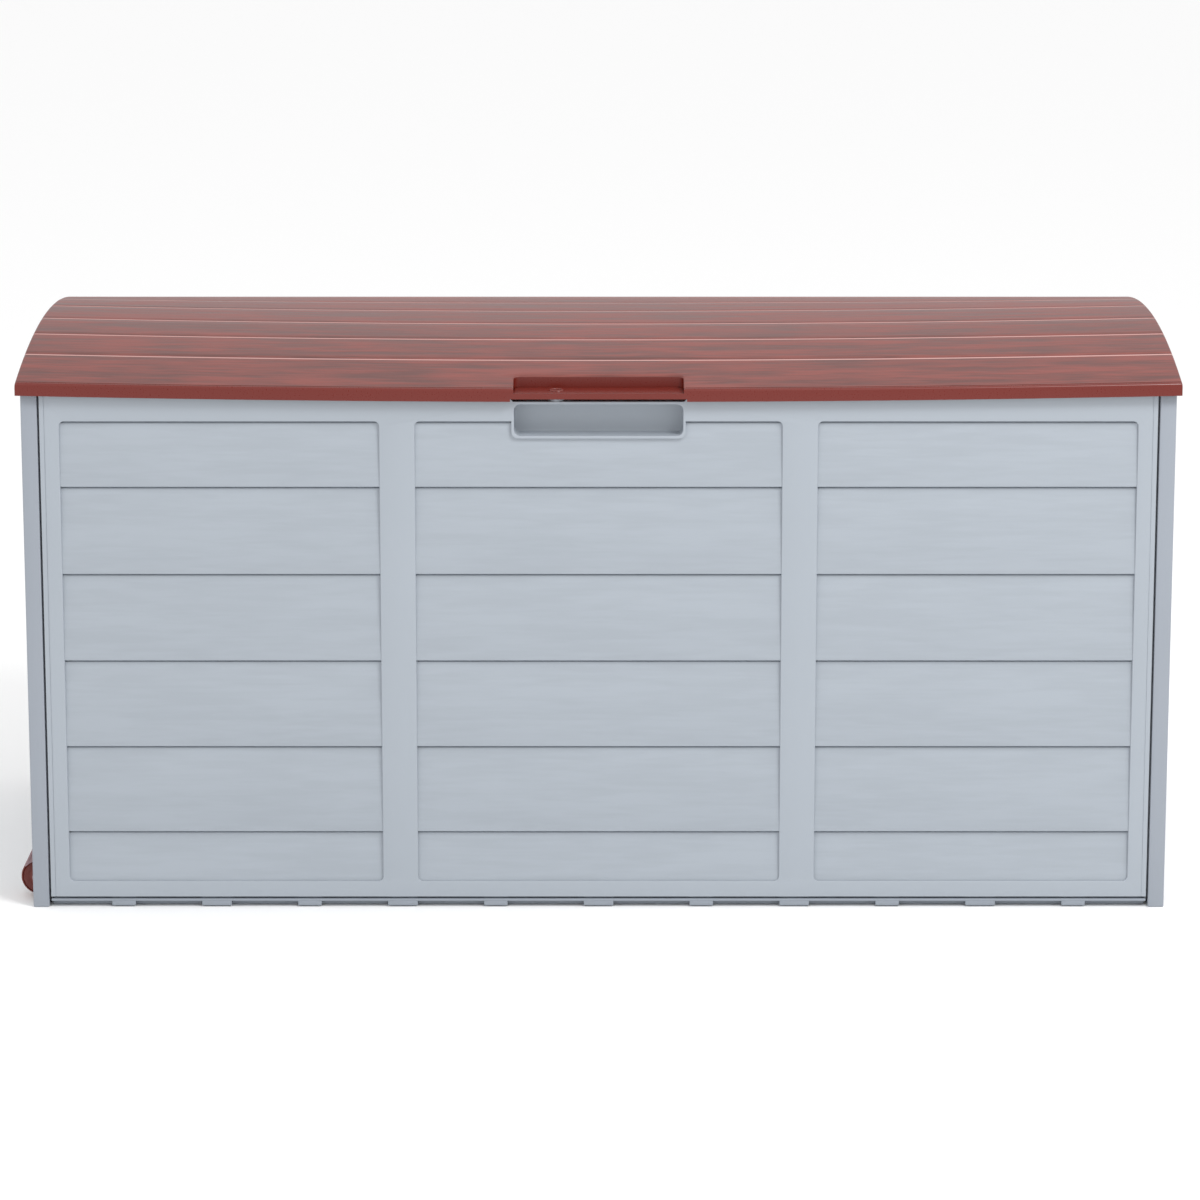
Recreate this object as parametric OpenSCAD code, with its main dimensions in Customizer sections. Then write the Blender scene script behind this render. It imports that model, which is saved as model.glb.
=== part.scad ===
// Garden storage box. Five moulded panels hook together at the corner legs, a
// barrel lid turns on three hinges along the back, and two small wheels under
// the left end let the box be tipped and rolled.
// X runs along the box, the front faces -Y and Z is up. The origin is on the
// floor under the middle of the body. All sizes are in millimetres.

/* [Body] */
// Width of the body over the two end panels
body_w = 1100; // [900:5:1320]
// Depth of the body over the corner legs
body_d = 475; // [380:5:600]
// Height of the lid's rim above the floor, at its ends
rim_z = 508; // [400:1:620]
// Thickness of the moulded walls
wall = 3; // [2:0.25:4]
// Height of the panels' lower edge above the floor
panel_z = 10.5; // [9:0.5:20]
// How far the panels' faces sit behind the legs' faces
face_set_back = 1; // [0:0.25:4]

/* [Corner legs] */
// Width of a leg, seen from the front
leg_w = 15.5; // [13:0.5:24]
// Depth of a leg, front to back
leg_d = 21; // [19:0.5:30]
// Open gap between a leg and the panel beside it
leg_gap = 2; // [1:0.25:4]
// Depth of the short lip that turns back along the leg's inner edge
leg_lip = 6; // [4:0.5:8]

/* [Clapboard bays] */
// Width of the middle bay of the front and back panels
mid_bay_w = 350.5; // [280:0.5:420]
// Width of the plain stile between two bays
stile_w = 34; // [24:1:50]
// Width of the plain stile at a panel's edge
edge_stile_w = 18.5; // [14:0.5:40]
// Height of the bays' lower edge above the floor
bay_low = 26; // [22:1:40]
// Distance from the lid's rim line down to the bays' upper edge
bay_top_gap = 26.5; // [22:0.5:50]
// Corner radius of a bay
bay_r = 5; // [3:0.5:12]
// Height of the lowest clapboard line above the floor
slat_first = 76; // [70:1:90]
// Spacing of the clapboard lines
slat_pitch = 85.4; // [60:0.2:120]
// How far a clapboard's lower edge sits behind the panel's face
slat_out = 1; // [0.5:0.25:2]
// How far a clapboard's upper edge sits behind the panel's face
slat_in = 4; // [3:0.25:6]

/* [Grips] */
// Width of the grip pocket in the front panel
grip_w = 161; // [110:1:200]
// Height of a grip pocket
grip_h = 30.5; // [24:0.5:36]
// Depth of a grip pocket
grip_deep = 22; // [14:1:30]
// Width of the carrying grips in the end panels
carry_w = 130; // [100:1:160]
// Thickness of a grip pocket's walls and of the shelf above it
grip_wall = 2.5; // [2:0.25:3]

/* [Lid] */
// How far each end of the lid stands out past the end panels
lid_w_over = 4; // [3:0.5:10]
// How far the lid's rim stands in front of the legs
lid_d_over = 7.5; // [6:0.5:14]
// Height of the lid's rim
rim_h = 12; // [10:0.5:20]
// Rise of the barrel top above the rim
crown = 28; // [20:1:60]
// How far the front rim hangs lower at its middle than at its ends
rim_bow = 6; // [0:0.5:8]
// Spacing of the plank grooves
plank_w = 66.5; // [50:0.5:90]
// Extra width of the middle plank
mid_plank_extra = 7.5; // [0:0.5:20]
// Width of the handle recess in the lid's front edge
recess_w = 162; // [110:1:200]
// Depth of the handle recess, front to back
recess_d = 34; // [26:1:44]
// Spacing of the stiffening ribs under the lid
lid_rib_pitch = 105; // [80:1:140]

/* [Padlock hole] */
// Radius of the padlock hole
lock_r = 4.5; // [3:0.25:6]
// Distance of the padlock hole to the left of the middle
lock_x = 40; // [0:1:70]
// Distance of the padlock hole behind the lid's front edge
lock_y = 17; // [14:0.5:22]

/* [Base] */
// Thickness of the floor plate
floor_t = 2.5; // [2:0.25:4]
// Gap between the floor plate's lip and the panels above it
lip_gap = 2.2; // [1:0.1:3]
// Distance of the first tab from the middle one
tab_first = 100; // [70:1:120]
// Spacing of the other tabs
tab_pitch = 90.5; // [70:0.5:110]
// Widths of the wide and the narrow tabs
tab_wide = 29; // [20:1:40]
tab_narrow = 23; // [14:1:36]

/* [Hinges] */
// Distance of the outer hinges from the middle
hinge_x = 380; // [300:5:460]
// Width of a hinge
hinge_w = 58; // [50:1:80]
// Radius of the hinge pin
pin_r = 2.5; // [2:0.1:3]
// Radius of the hinge knuckles
knuckle_r = 5; // [4.5:0.1:5.4]
// Distance of the hinge axis behind the lid's rear edge
hinge_back = 5; // [5:0.25:8]
// Distance of the hinge axis below the lid's rim line
hinge_drop = 3; // [2.5:0.25:5]

/* [Wheels] */
// Radius of a wheel
wheel_r = 18.1; // [14:0.1:22]
// Width of a wheel
wheel_w = 24; // [18:0.5:30]
// Distance of the wheel's outer face behind the legs' faces
wheel_set_back = 28; // [27:0.5:50]
// Distance of the axle inside the end panel's face
wheel_in = 3; // [2:0.25:6]
// Height of the wheels above the floor while the box stands level
wheel_lift = 4.2; // [2:0.1:8]
// Radius of the axle
axle_r = 3; // [2.5:0.1:4]

/* [Hidden] */

$fn = 48;
eps = 0.01;        // overlap between solids that are joined
cut = 1;           // how far a cutter reaches past the face that it opens
run_fit = 0.05;    // radial clearance of a pin or axle in a moving part
screw_fit = 0.08;  // radial clearance of a screw in its hole

// Body
face_y = body_d / 2 - face_set_back;
wall_top = rim_z + 1;
panel_w = body_w - 2 * (leg_w + leg_gap);
panel_return = 14;
tongue_gap = 1;    // room between a tongue and the leg's inside
tongue = leg_gap + leg_w - wall - tongue_gap;
tongue_short = 5;  // how far a tongue stops short of the panel's top and bottom
bay_high = rim_z - bay_top_gap;
bay_depth = slat_in + wall + 1;
side_bay_w = (panel_w - mid_bay_w) / 2 - stile_w - edge_stile_w;
side_bay_x = mid_bay_w / 2 + stile_w + side_bay_w / 2;
slat_least = 20;
slat_lines = floor((bay_high - slat_first - slat_least) / slat_pitch) + 1;
end_bay_w = body_d - 2 * (leg_d + edge_stile_w);

// Grips, notch and shelf under the lid's handle
shelf_drop = 7.5;
shelf_top = rim_z - shelf_drop;
grip_top = shelf_top - grip_wall;
grip_z = grip_top - grip_h / 2;
grip_r = 6;
grip_rim = 4;
notch_side = 9;    // how far the notch reaches past the handle recess at each end
notch_w = recess_w + 2 * notch_side;
shelf_spare = 5.5; // room behind the handle recess
shelf_d = recess_d - lid_d_over + face_set_back + shelf_spare;
boss_wall = 3.5;
boss_r = lock_r + boss_wall;
boss_h = 2.5;

// Lid
lid_w = body_w + 2 * lid_w_over;
lid_d = body_d + 2 * lid_d_over;
lock_depth = face_y - lid_d / 2 + lock_y; // depth of the padlock hole behind the face
rim_top = rim_z + rim_h;
vault_r = (pow(lid_d / 2, 2) + pow(crown, 2)) / (2 * crown);
vault_z = rim_top + crown - vault_r;
groove_r = 1.6;
groove_deep = 1.2;
recess_z = rim_z + 2;
recess_r = 6;
lip_h = 5.5;
lip_side = 3;
lid_rib_t = 2.5;
lid_rib_h = 6;
lid_rib_first = 95;
lid_rib_end = 20;  // least distance of the last rib from the lid's end
lid_ribs = floor((lid_w / 2 - lid_rib_first - lid_rib_end) / lid_rib_pitch);
rib_sink = 0.5;    // how far a rib reaches into the skin above it
rest_gap = 0.5;
rest_w = 20;

// Base
floor_top = panel_z - lip_gap;
floor_z = floor_top - floor_t;
base_w = panel_w;
base_end_gap = 1;  // room between the floor plate's ends and the end panels' bays
base_leg_gap = 3;  // room between the floor plate's ends and the legs
base_end_w = body_w - 2 * (bay_depth + base_end_gap);
base_end_d = body_d - 2 * (leg_d + base_leg_gap);
rail_low = 0.6;    // height of the long rails' lower edges above the floor
rib_pitch = 93.6;  // spacing of the four long ribs under the plate
rib_y = [-1.5 * rib_pitch, -0.5 * rib_pitch, 0.5 * rib_pitch, 1.5 * rib_pitch];
tab_z = 1.2;
tab_d = 10;
tab_end = 30;      // least distance of the last tab from the plate's end
pad_front = 5;     // distance of the pads behind the panels' faces
pad_back = 13;
tab_side_count = floor((base_w / 2 - tab_first - tab_end) / tab_pitch) + 1;
tab_places = [for (side = [-1, 1]) for (i = [0:tab_side_count - 1])
              side * (tab_first + i * tab_pitch)];
foot = 44;

// Hinges
axis_y = lid_d / 2 + hinge_back;
axis_z = rim_z - hinge_drop;
knuckle_gap = 1;
lid_knuckle_w = 24;
body_knuckle_w = (hinge_w - lid_knuckle_w) / 2 - knuckle_gap;
leaf_t = 3;
leaf_low_gap = 4;  // height of the body leaf's lower edge above the bays
leaf_top_gap = 1.5; // distance of its upper edge below the rim line
leaf_low = bay_high + leaf_low_gap;
leaf_high = rim_z - leaf_top_gap;
lid_leaf_t = 2.5;
leaf_fit = 0.6;    // room between the lid leaf and the body leaf's knuckles
lid_leaf_low = axis_z + knuckle_r + leaf_fit;
lid_leaf_high = rim_top - 1;
pin_proud = 1.5;   // how far the pin stands out at its plain end
pin_head_t = 1.8;
pin_head_gap = 0.2;
hinge_places = [-hinge_x, 0, hinge_x];
hinge_screw_x = 20;
low_screw = 6;     // height of the two outer screws above the body leaf's lower edge
high_screw = 8.5;  // distance of the middle screw below the leaf's upper edge
body_leaf_screws = [[-hinge_screw_x, leaf_low + low_screw],
                    [hinge_screw_x, leaf_low + low_screw], [0, leaf_high - high_screw]];
lid_screw_z = (lid_leaf_low + lid_leaf_high) / 2;

// Screws
screw_r = 2;
head_r = 3.6;
head_h = 2.2;
head_edge = 0.6;   // height of the head's sloping edge
corner_screw_x = body_w / 2 - leg_w / 2 - 1;
corner_screw_end = 60; // distance of the highest corner screw below the rim line
corner_screw_z = [95, rim_z / 2, rim_z - corner_screw_end];
leg_back_y = body_d / 2 - leg_d;

// Wheels
wheel_x = -body_w / 2 + wheel_in;
wheel_y = body_d / 2 - wheel_set_back - wheel_w / 2;
wheel_z = wheel_r + wheel_lift;
side_gap = 1.2;
cheek_t = 2.5;
bracket_in = wheel_w / 2 + side_gap;
bracket_out = bracket_in + cheek_t;
bracket_fit = 0.3;
hood_t = 2;
hood_short = 4.1;  // how far the hood's front edge stays behind the wheel's tread
hood_out = wheel_r - wheel_in - hood_short;
hood_room = 15.5;  // height of the hood above the wheel
hood_clear = 0.228; // height of the hood's front edge above the tread there
hood_rise = sqrt(pow(wheel_r, 2) - pow(wheel_r - hood_short, 2)) + hood_clear;
hood_roof = 0.72;  // share of the hood's slope that its roof follows, clear of the tread
hood_edge = 4;     // height of the cheeks' plain lower edge
hood_high = wheel_z + wheel_r + hood_room;
hood_low = wheel_z + hood_rise;
flange_t = 2.5;
housing_d = wheel_in + wheel_r + side_gap + flange_t;
flange_reach = 12;
flange_up = 10.5;  // height of the flange above the hood
flange_foot = 1;   // room between the flange's side arm and the end panel's foot
// the end bays start at the first slat line that clears the bracket's flange
end_bay_low = slat_first + slat_pitch
              * max(0, ceil((hood_high + flange_up + wall - slat_first) / slat_pitch));
nose_wall = 4;
nose_r = axle_r + nose_wall;
nose_sink = 1.5;   // how far the bracket reaches below its nose
bracket_low = wheel_z - nose_r - nose_sink;
arch_cut = 1.2;    // how much less than the wheel's radius the cheeks' arch is
hole_fit = 0.02;   // radial clearance of the axle in the bracket and the clip
way_room = 6;      // room behind the bracket in the end panel
base_way_room = 2; // room behind the bracket in the base
axle_head_r = axle_r + 1.6;
axle_head_t = 1.2;
clip_r = axle_r + 2.6;
clip_t = 1.2;
clip_gap = 0.3;
axle_tip = 1.2;    // how far the axle stands out past its clip
axle_end = clip_gap + clip_t + axle_tip;
axle_head_gap = 0.2;
axle_room = 0.6;
flange_screw = 7;  // distance of the outer screws from the bracket's cheek
inner_screw = 20;  // distance of the inner screw behind that cheek's face
arm_screw = 16;    // height of the lower screw above the axle
top_screw = 5.5;   // height of the upper screws above the hood
bracket_screws_yz = [[bracket_out + flange_screw, wheel_z + arm_screw],
                     [bracket_out + flange_screw, hood_high + top_screw],
                     [bracket_out - inner_screw, hood_high + top_screw]];

// ---- Shared helpers --------------------------------------------------------

// A flat outline with rounded corners, centred
module rounded(w, h, r) {
    square([w - 2 * r, h], center = true);
    square([w, h - 2 * r], center = true);
    for (x = [-1, 1], y = [-1, 1])
        translate([x * (w / 2 - r), y * (h / 2 - r)])
            circle(r);
}

// Extrudes an X-Z outline towards +Y
module through(depth) {
    translate([0, depth, 0])
        rotate([90, 0, 0])
            linear_extrude(depth)
                children();
}

// Extrudes a Y-Z outline along X, centred
module along_x(length) {
    rotate([90, 0, 90])
        linear_extrude(length, center = true)
            children();
}

// A block given by its lowest and highest corners
module block(low, high) {
    translate(low)
        cube(high - low);
}

// A round bar along Y, from y0 to y1
module bar_y(x, z, y0, y1, r) {
    translate([x, y0, z])
        rotate([-90, 0, 0])
            cylinder(r = r, h = y1 - y0);
}

// A round bar along X, from x0 to x1
module bar_x(y, z, x0, x1, r) {
    translate([x0, y, z])
        rotate([0, 90, 0])
            cylinder(r = r, h = x1 - x0);
}

// Draws its children as they are, or mirrored across a plane
module either_side(side, plane) {
    if (side > 0)
        children();
    else
        mirror(plane)
            children();
}

// ---- Panels ----------------------------------------------------------------
// A panel is drawn with its outer face on y = 0 and its depth towards +Y.

// Heights of a bay's clapboard edges, from its lower to its upper end
function slat_edges(low) =
    [low, for (i = [0:slat_lines - 1]) let (z = slat_first + i * slat_pitch)
          if (z > low + slat_least) z, bay_high];

// Depth of a clapboard's face at a distance above its lower edge
function slat_depth(up) = slat_out + (slat_in - slat_out) * up / slat_pitch;

// Clapboard skin of a bay, as a section: each board leans back towards its top
module slat_section(low) {
    edges = slat_edges(low);
    count = len(edges) - 1;
    // the lowest board is the upper part of a whole one
    start = [for (i = [0:count - 1]) i == 0 ? max(0, slat_pitch - (edges[1] - edges[0])) : 0];
    for (i = [0:count - 1]) {
        z0 = edges[i];
        z1 = edges[i + 1];
        d0 = slat_depth(start[i]);
        d1 = slat_depth(start[i] + z1 - z0);
        top = i < count - 1 ? z1 + wall : z1;
        polygon([[d0, z0], [d1, z1], [d1, top], [d1 + wall, top], [d1 + wall, z1],
                 [d0 + wall, z0]]);
    }
}

// One bay: a return all round it and the clapboard skin inside
module bay(x, w, low) {
    mid = (low + bay_high) / 2;
    high = bay_high - low;
    translate([x, 0, 0]) {
        difference() {
            translate([0, 0, mid])
                through(bay_depth)
                    rounded(w + 2 * wall, high + 2 * wall, bay_r + wall);
            translate([0, -cut, mid])
                through(bay_depth + 2 * cut)
                    rounded(w, high, bay_r);
        }
        intersection() {
            along_x(w + wall)
                slat_section(low);
            translate([0, 0, mid])
                through(bay_depth)
                    rounded(w + wall, high + wall, bay_r + wall / 2);
        }
    }
}

// Opening of a bay in the flat face
module bay_hole(x, w, low) {
    translate([x, -cut, (low + bay_high) / 2])
        through(wall + 2 * cut)
            rounded(w, bay_high - low, bay_r);
}

// Flat face with bays [x, width, lower edge], and with flanges top and bottom
module slatted_face(w, bays) {
    difference() {
        block([-w / 2, 0, panel_z], [w / 2, wall, wall_top]);
        for (b = bays)
            bay_hole(b[0], b[1], b[2]);
    }
    for (b = bays)
        bay(b[0], b[1], b[2]);
}

// Flush rim and pocket walls of a grip
module grip_shell(w) {
    translate([0, 0, grip_z])
        through(wall)
            rounded(w + 2 * grip_rim, grip_h + 2 * grip_rim, grip_r);
    translate([0, 0, grip_z])
        through(grip_deep + grip_wall)
            rounded(w + 2 * grip_wall, grip_h + 2 * grip_wall, grip_r);
}

// Space inside a grip pocket
module grip_space(w) {
    translate([0, -cut, grip_z])
        through(grip_deep + cut)
            rounded(w, grip_h, grip_r);
}

// Side returns, hooked tongues and flanges of a front or back panel
module long_panel_edges() {
    for (side = [-1, 1])
        either_side(side, [1, 0, 0]) {
            block([panel_w / 2 - wall, 0, panel_z], [panel_w / 2, panel_return, wall_top]);
            block([panel_w / 2 - wall, panel_return - wall, panel_z + tongue_short],
                  [panel_w / 2 + tongue, panel_return, wall_top - tongue_short]);
        }
    block([-panel_w / 2, 0, panel_z], [panel_w / 2, panel_return, panel_z + wall]);
    block([-panel_w / 2, 0, wall_top - wall], [panel_w / 2, bay_depth, wall_top]);
}

// Screw holes through the tongues, shared by the front and back panels
module tongue_holes() {
    for (side = [-1, 1], z = corner_screw_z)
        bar_y(side * corner_screw_x, z, panel_return - wall - cut, panel_return + cut,
              screw_r + screw_fit);
}

module long_panel() {
    slatted_face(panel_w, [[-side_bay_x, side_bay_w, bay_low], [0, mid_bay_w, bay_low],
                           [side_bay_x, side_bay_w, bay_low]]);
    long_panel_edges();
}

module front_panel() {
    color("#a9b4bf")
        translate([0, -face_y, 0])
            difference() {
                union() {
                    long_panel();
                    grip_shell(grip_w);
                    // shelf behind the notch, with walls up to the top flange
                    block([-notch_w / 2 - grip_wall, 0, grip_top],
                          [notch_w / 2 + grip_wall, shelf_d + grip_wall, wall_top]);
                    // boss round the padlock hole
                    translate([-lock_x, lock_depth, grip_top])
                        cylinder(r = boss_r, h = grip_wall + boss_h);
                }
                tongue_holes();
                grip_space(grip_w);
                notch_space();
                translate([-lock_x, lock_depth, grip_top - cut])
                    cylinder(r = lock_r, h = grip_wall + boss_h + 2 * cut);
            }
}

// Space above the shelf, open to the top and, between slanted ends, to the front
module notch_space() {
    high = wall_top - shelf_top + cut;
    difference() {
        block([-notch_w / 2, wall, shelf_top], [notch_w / 2, shelf_d, shelf_top + high]);
        translate([-lock_x, lock_depth, grip_top])
            cylinder(r = boss_r, h = grip_wall + boss_h);
    }
    translate([0, -cut, 0])
        through(wall + cut + eps)
            polygon([[-notch_w / 2 + high, shelf_top], [notch_w / 2 - high, shelf_top],
                     [notch_w / 2, shelf_top + high], [-notch_w / 2, shelf_top + high]]);
}

module back_panel() {
    color("#a9b4bf")
        rotate([0, 0, 180])
            translate([0, -face_y, 0])
                difference() {
                    long_panel();
                    tongue_holes();
                    for (x = hinge_places, s = body_leaf_screws)
                        bar_y(-x - s[0], s[1], -cut, wall + cut, screw_r + screw_fit);
                }
}

// Channel of one leg: front plate, short inner lip, back plate and foot
module leg() {
    d = body_d / 2;
    block([d - wall, 0, 0], [d, leg_w, wall_top]);
    block([d - leg_lip, leg_w - wall, 0], [d, leg_w, wall_top]);
    block([d - leg_d, 0, 0], [d - leg_d + wall, leg_w, wall_top]);
    block([d - leg_d, 0, 0], [d, wall, wall_top]);
    block([d - leg_d, 0, 0], [d, leg_w, wall]);
}

// End panel with its outer face on y = 0; the box's front is towards +X here
module end_panel() {
    difference() {
        union() {
            slatted_face(body_d - 2 * wall, [[0, end_bay_w, end_bay_low]]);
            grip_shell(carry_w);
            for (side = [-1, 1])
                either_side(side, [1, 0, 0])
                    leg();
            block([-leg_back_y, 0, panel_z], [leg_back_y, panel_return, panel_z + wall]);
            block([-leg_back_y, 0, wall_top - wall], [leg_back_y, bay_depth, wall_top]);
        }
        grip_space(carry_w);
        for (side = [-1, 1], z = corner_screw_z)
            either_side(side, [1, 0, 0])
                bar_x(body_w / 2 - corner_screw_x, z, leg_back_y - cut,
                      leg_back_y + wall + cut, screw_r + screw_fit);
    }
}

module left_end_panel() {
    color("#9fabb6")
        difference() {
            translate([-body_w / 2, 0, 0])
                rotate([0, 0, -90])
                    end_panel();
            for (side = [-1, 1]) {
                // way out for the wheel bracket
                reach = bracket_out + bracket_fit;
                block([-body_w / 2 - cut, side * wheel_y - reach, -cut],
                      [-body_w / 2 + housing_d + way_room, side * wheel_y + reach,
                       hood_high + bracket_fit]);
                either_side(side, [0, 1, 0])
                    axle_relief();
                for (s = bracket_screws_yz)
                    bar_x(side * (wheel_y - s[0]), s[1], -body_w / 2 + 0.4,
                          -body_w / 2 + wall + cut, screw_r + screw_fit);
            }
        }
}

module right_end_panel() {
    color("#9fabb6")
        translate([body_w / 2, 0, 0])
            rotate([0, 0, 90])
                end_panel();
}

// ---- Base ------------------------------------------------------------------

module base_panel() {
    rail_y = face_y - tab_d;
    color("#8f9aa5")
        difference() {
            union() {
                // floor plate, whose front and rear edges are the visible lips
                block([-base_w / 2, -face_y, floor_z], [base_w / 2, face_y, floor_top]);
                block([-base_end_w / 2, -base_end_d / 2, floor_z],
                      [base_end_w / 2, base_end_d / 2, floor_top]);
                for (y = rib_y)
                    block([-base_w / 2, y - wall / 2, 0],
                          [base_w / 2, y + wall / 2, floor_z + eps]);
                for (side = [-1, 1]) {
                    block([-base_w / 2, side * rail_y - wall / 2, rail_low],
                          [base_w / 2, side * rail_y + wall / 2, floor_z + eps]);
                    tabs(side, 0, tab_wide);
                    for (k = [0:len(tab_places) - 1])
                        tabs(side, tab_places[k],
                             k % tab_side_count % 2 == 0 ? tab_narrow : tab_wide);
                }
                for (x = tab_places)
                    block([x - wall / 2, -rail_y, 0], [x + wall / 2, rail_y, floor_z + eps]);
                block([-foot / 2, -foot / 2, 0], [foot / 2, foot / 2, floor_z + eps]);
                block([-wall / 2, -rail_y, 0], [wall / 2, rail_y, floor_z + eps]);
            }
            for (side = [-1, 1])
                block([-body_w, side * wheel_y - bracket_out - 2 * bracket_fit, -cut],
                      [-body_w / 2 + housing_d + base_way_room,
                       side * wheel_y + bracket_out + 2 * bracket_fit, floor_top + cut]);
        }
}

// One tab under the lip, with the pad above it that the long panel stands on
module tabs(side, x, w) {
    either_side(side, [0, 1, 0]) {
        block([x - w / 2, face_y - tab_d, tab_z], [x + w / 2, face_y, floor_z + eps]);
        block([x - w / 2, face_y - pad_back, floor_top - eps],
              [x + w / 2, face_y - pad_front, panel_z]);
    }
}

// ---- Lid -------------------------------------------------------------------

// Disc of the barrel's circle, in the Y-Z plane
module vault_disc(inset) {
    translate([0, vault_z])
        circle(vault_r - inset, $fn = 720);
}

// Region of the lid's section, between two heights
module lid_window(low, inset) {
    translate([-lid_d / 2 + inset, low])
        square([lid_d - 2 * inset, rim_top + crown + cut - low]);
}

// Front rim seen from the front: its lower edge hangs lower in the middle
module front_rim() {
    steps = 24;
    half = lid_w / 2;
    bottom = [for (i = [0:steps]) let (t = -1 + 2 * i / steps)
              [t * half, rim_z - rim_bow * (1 - t * t)]];
    polygon(concat(bottom, [[half, rim_top], [-half, rim_top]]));
}

// One stiffening rib, which ends in the pads that rest over the walls
module lid_rib() {
    along_x(lid_rib_t) {
        intersection() {
            difference() {
                vault_disc(wall - rib_sink);
                vault_disc(wall + lid_rib_h);
            }
            lid_window(rim_z, wall - eps);
        }
        intersection() {
            vault_disc(wall - rib_sink);
            union()
                for (y = [-lid_d / 2 + wall - eps, lid_d / 2 - wall + eps - rest_w])
                    translate([y, wall_top + rest_gap])
                        square([rest_w, crown]);
        }
    }
}

// Outline of the handle recess, from above, grown by a wall
module recess_outline(grow) {
    back = -lid_d / 2 + recess_d;
    r = recess_r + grow;
    for (side = [-1, 1])
        translate([side * (recess_w / 2 - recess_r), back - recess_r])
            circle(r);
    translate([-recess_w / 2 - grow, -lid_d / 2])
        square([recess_w + 2 * grow, recess_d - recess_r]);
    translate([-recess_w / 2 + recess_r, -lid_d / 2])
        square([recess_w - 2 * recess_r, recess_d + grow]);
}

module lid_shell() {
    front = -lid_d / 2;
    color("#9a4a40")
        difference() {
            union() {
                along_x(lid_w)
                    intersection() {
                        difference() {
                            vault_disc(0);
                            vault_disc(wall);
                        }
                        lid_window(rim_z, 0);
                    }
                // closed ends
                for (side = [-1, 1])
                    translate([side * (lid_w - wall) / 2, 0, 0])
                        along_x(wall)
                            intersection() {
                                vault_disc(0);
                                lid_window(rim_z, 0);
                            }
                translate([0, front, 0])
                    through(wall)
                        front_rim();
                block([-lid_w / 2, -front - wall, rim_z], [lid_w / 2, -front, rim_top]);
                for (side = [-1, 1], i = [0:lid_ribs])
                    translate([side * (lid_rib_first + i * lid_rib_pitch), 0, 0])
                        lid_rib();
                // floor and walls of the handle recess
                intersection() {
                    translate([0, 0, recess_z - grip_wall])
                        linear_extrude(crown + rim_h)
                            recess_outline(grip_wall);
                    along_x(recess_w + 4 * wall)
                        vault_disc(0);
                }
                block([-recess_w / 2 - lip_side, front, recess_z - lip_h],
                      [recess_w / 2 + lip_side, front + wall, recess_z]);
            }
            // plank grooves
            for (side = [-1, 1], i = [0:2]) {
                y = side * (mid_plank_extra / 2 + plank_w * (0.5 + i));
                z = vault_z + sqrt(pow(vault_r, 2) - y * y);
                bar_x(y, z + groove_r - groove_deep, -lid_w / 2 - cut, lid_w / 2 + cut,
                      groove_r);
            }
            // open space of the handle recess
            translate([0, 0, recess_z])
                linear_extrude(crown + rim_h)
                    recess_outline(0);
            block([-recess_w / 2, front - cut, recess_z],
                  [recess_w / 2, front + cut, rim_top + crown]);
            // raised lower edge under the handle
            block([-recess_w / 2 - lip_side, front - cut, rim_z - 2 * rim_bow - cut],
                  [recess_w / 2 + lip_side, front + wall + cut, recess_z - lip_h]);
            translate([-lock_x, lock_y - lid_d / 2, rim_z - cut])
                cylinder(r = lock_r, h = rim_h);
            for (x = hinge_places, sx = [-1, 1])
                bar_y(x + sx * hinge_screw_x, lid_screw_z, -front - wall - cut,
                      -front + cut, screw_r + screw_fit);
        }
}

// ---- Hinges ----------------------------------------------------------------

module hinge_body_leaf(x) {
    color("#55595e")
        translate([x, 0, 0])
            difference() {
                union() {
                    block([-hinge_w / 2, face_y, leaf_low],
                          [hinge_w / 2, face_y + leaf_t, leaf_high]);
                    for (side = [-1, 1])
                        either_side(side, [1, 0, 0]) {
                            x0 = lid_knuckle_w / 2 + knuckle_gap;
                            x1 = x0 + body_knuckle_w;
                            block([x0, face_y + leaf_t - eps, axis_z - knuckle_r],
                                  [x1, axis_y, leaf_high]);
                            bar_x(axis_y, axis_z, x0, x1, knuckle_r);
                        }
                }
                bar_x(axis_y, axis_z, -hinge_w, hinge_w, pin_r + run_fit);
                for (s = body_leaf_screws)
                    bar_y(s[0], s[1], face_y - cut, face_y + leaf_t + cut,
                          screw_r + screw_fit);
            }
}

module hinge_lid_leaf(x) {
    back = lid_d / 2;
    color("#8a4238")
        translate([x, 0, 0])
            difference() {
                union() {
                    block([-hinge_w / 2, back, lid_leaf_low],
                          [hinge_w / 2, back + lid_leaf_t, lid_leaf_high]);
                    block([-lid_knuckle_w / 2, back, axis_z],
                          [lid_knuckle_w / 2, axis_y, lid_leaf_low + eps]);
                    bar_x(axis_y, axis_z, -lid_knuckle_w / 2, lid_knuckle_w / 2, knuckle_r);
                }
                bar_x(axis_y, axis_z, -hinge_w, hinge_w, pin_r + run_fit);
                for (sx = [-1, 1])
                    bar_y(sx * hinge_screw_x, lid_screw_z, back - cut,
                          back + lid_leaf_t + cut, screw_r + screw_fit);
            }
}

module hinge_pin(x) {
    color("silver")
        translate([x, 0, 0]) {
            bar_x(axis_y, axis_z, -hinge_w / 2 - pin_head_gap, hinge_w / 2 + pin_proud, pin_r);
            bar_x(axis_y, axis_z, -hinge_w / 2 - pin_head_gap - pin_head_t,
                  -hinge_w / 2 - pin_head_gap, pin_r + 1.5);
        }
}

// ---- Wheels ----------------------------------------------------------------
// Drawn for the front wheel; the rear one is its mirror image.

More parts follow.
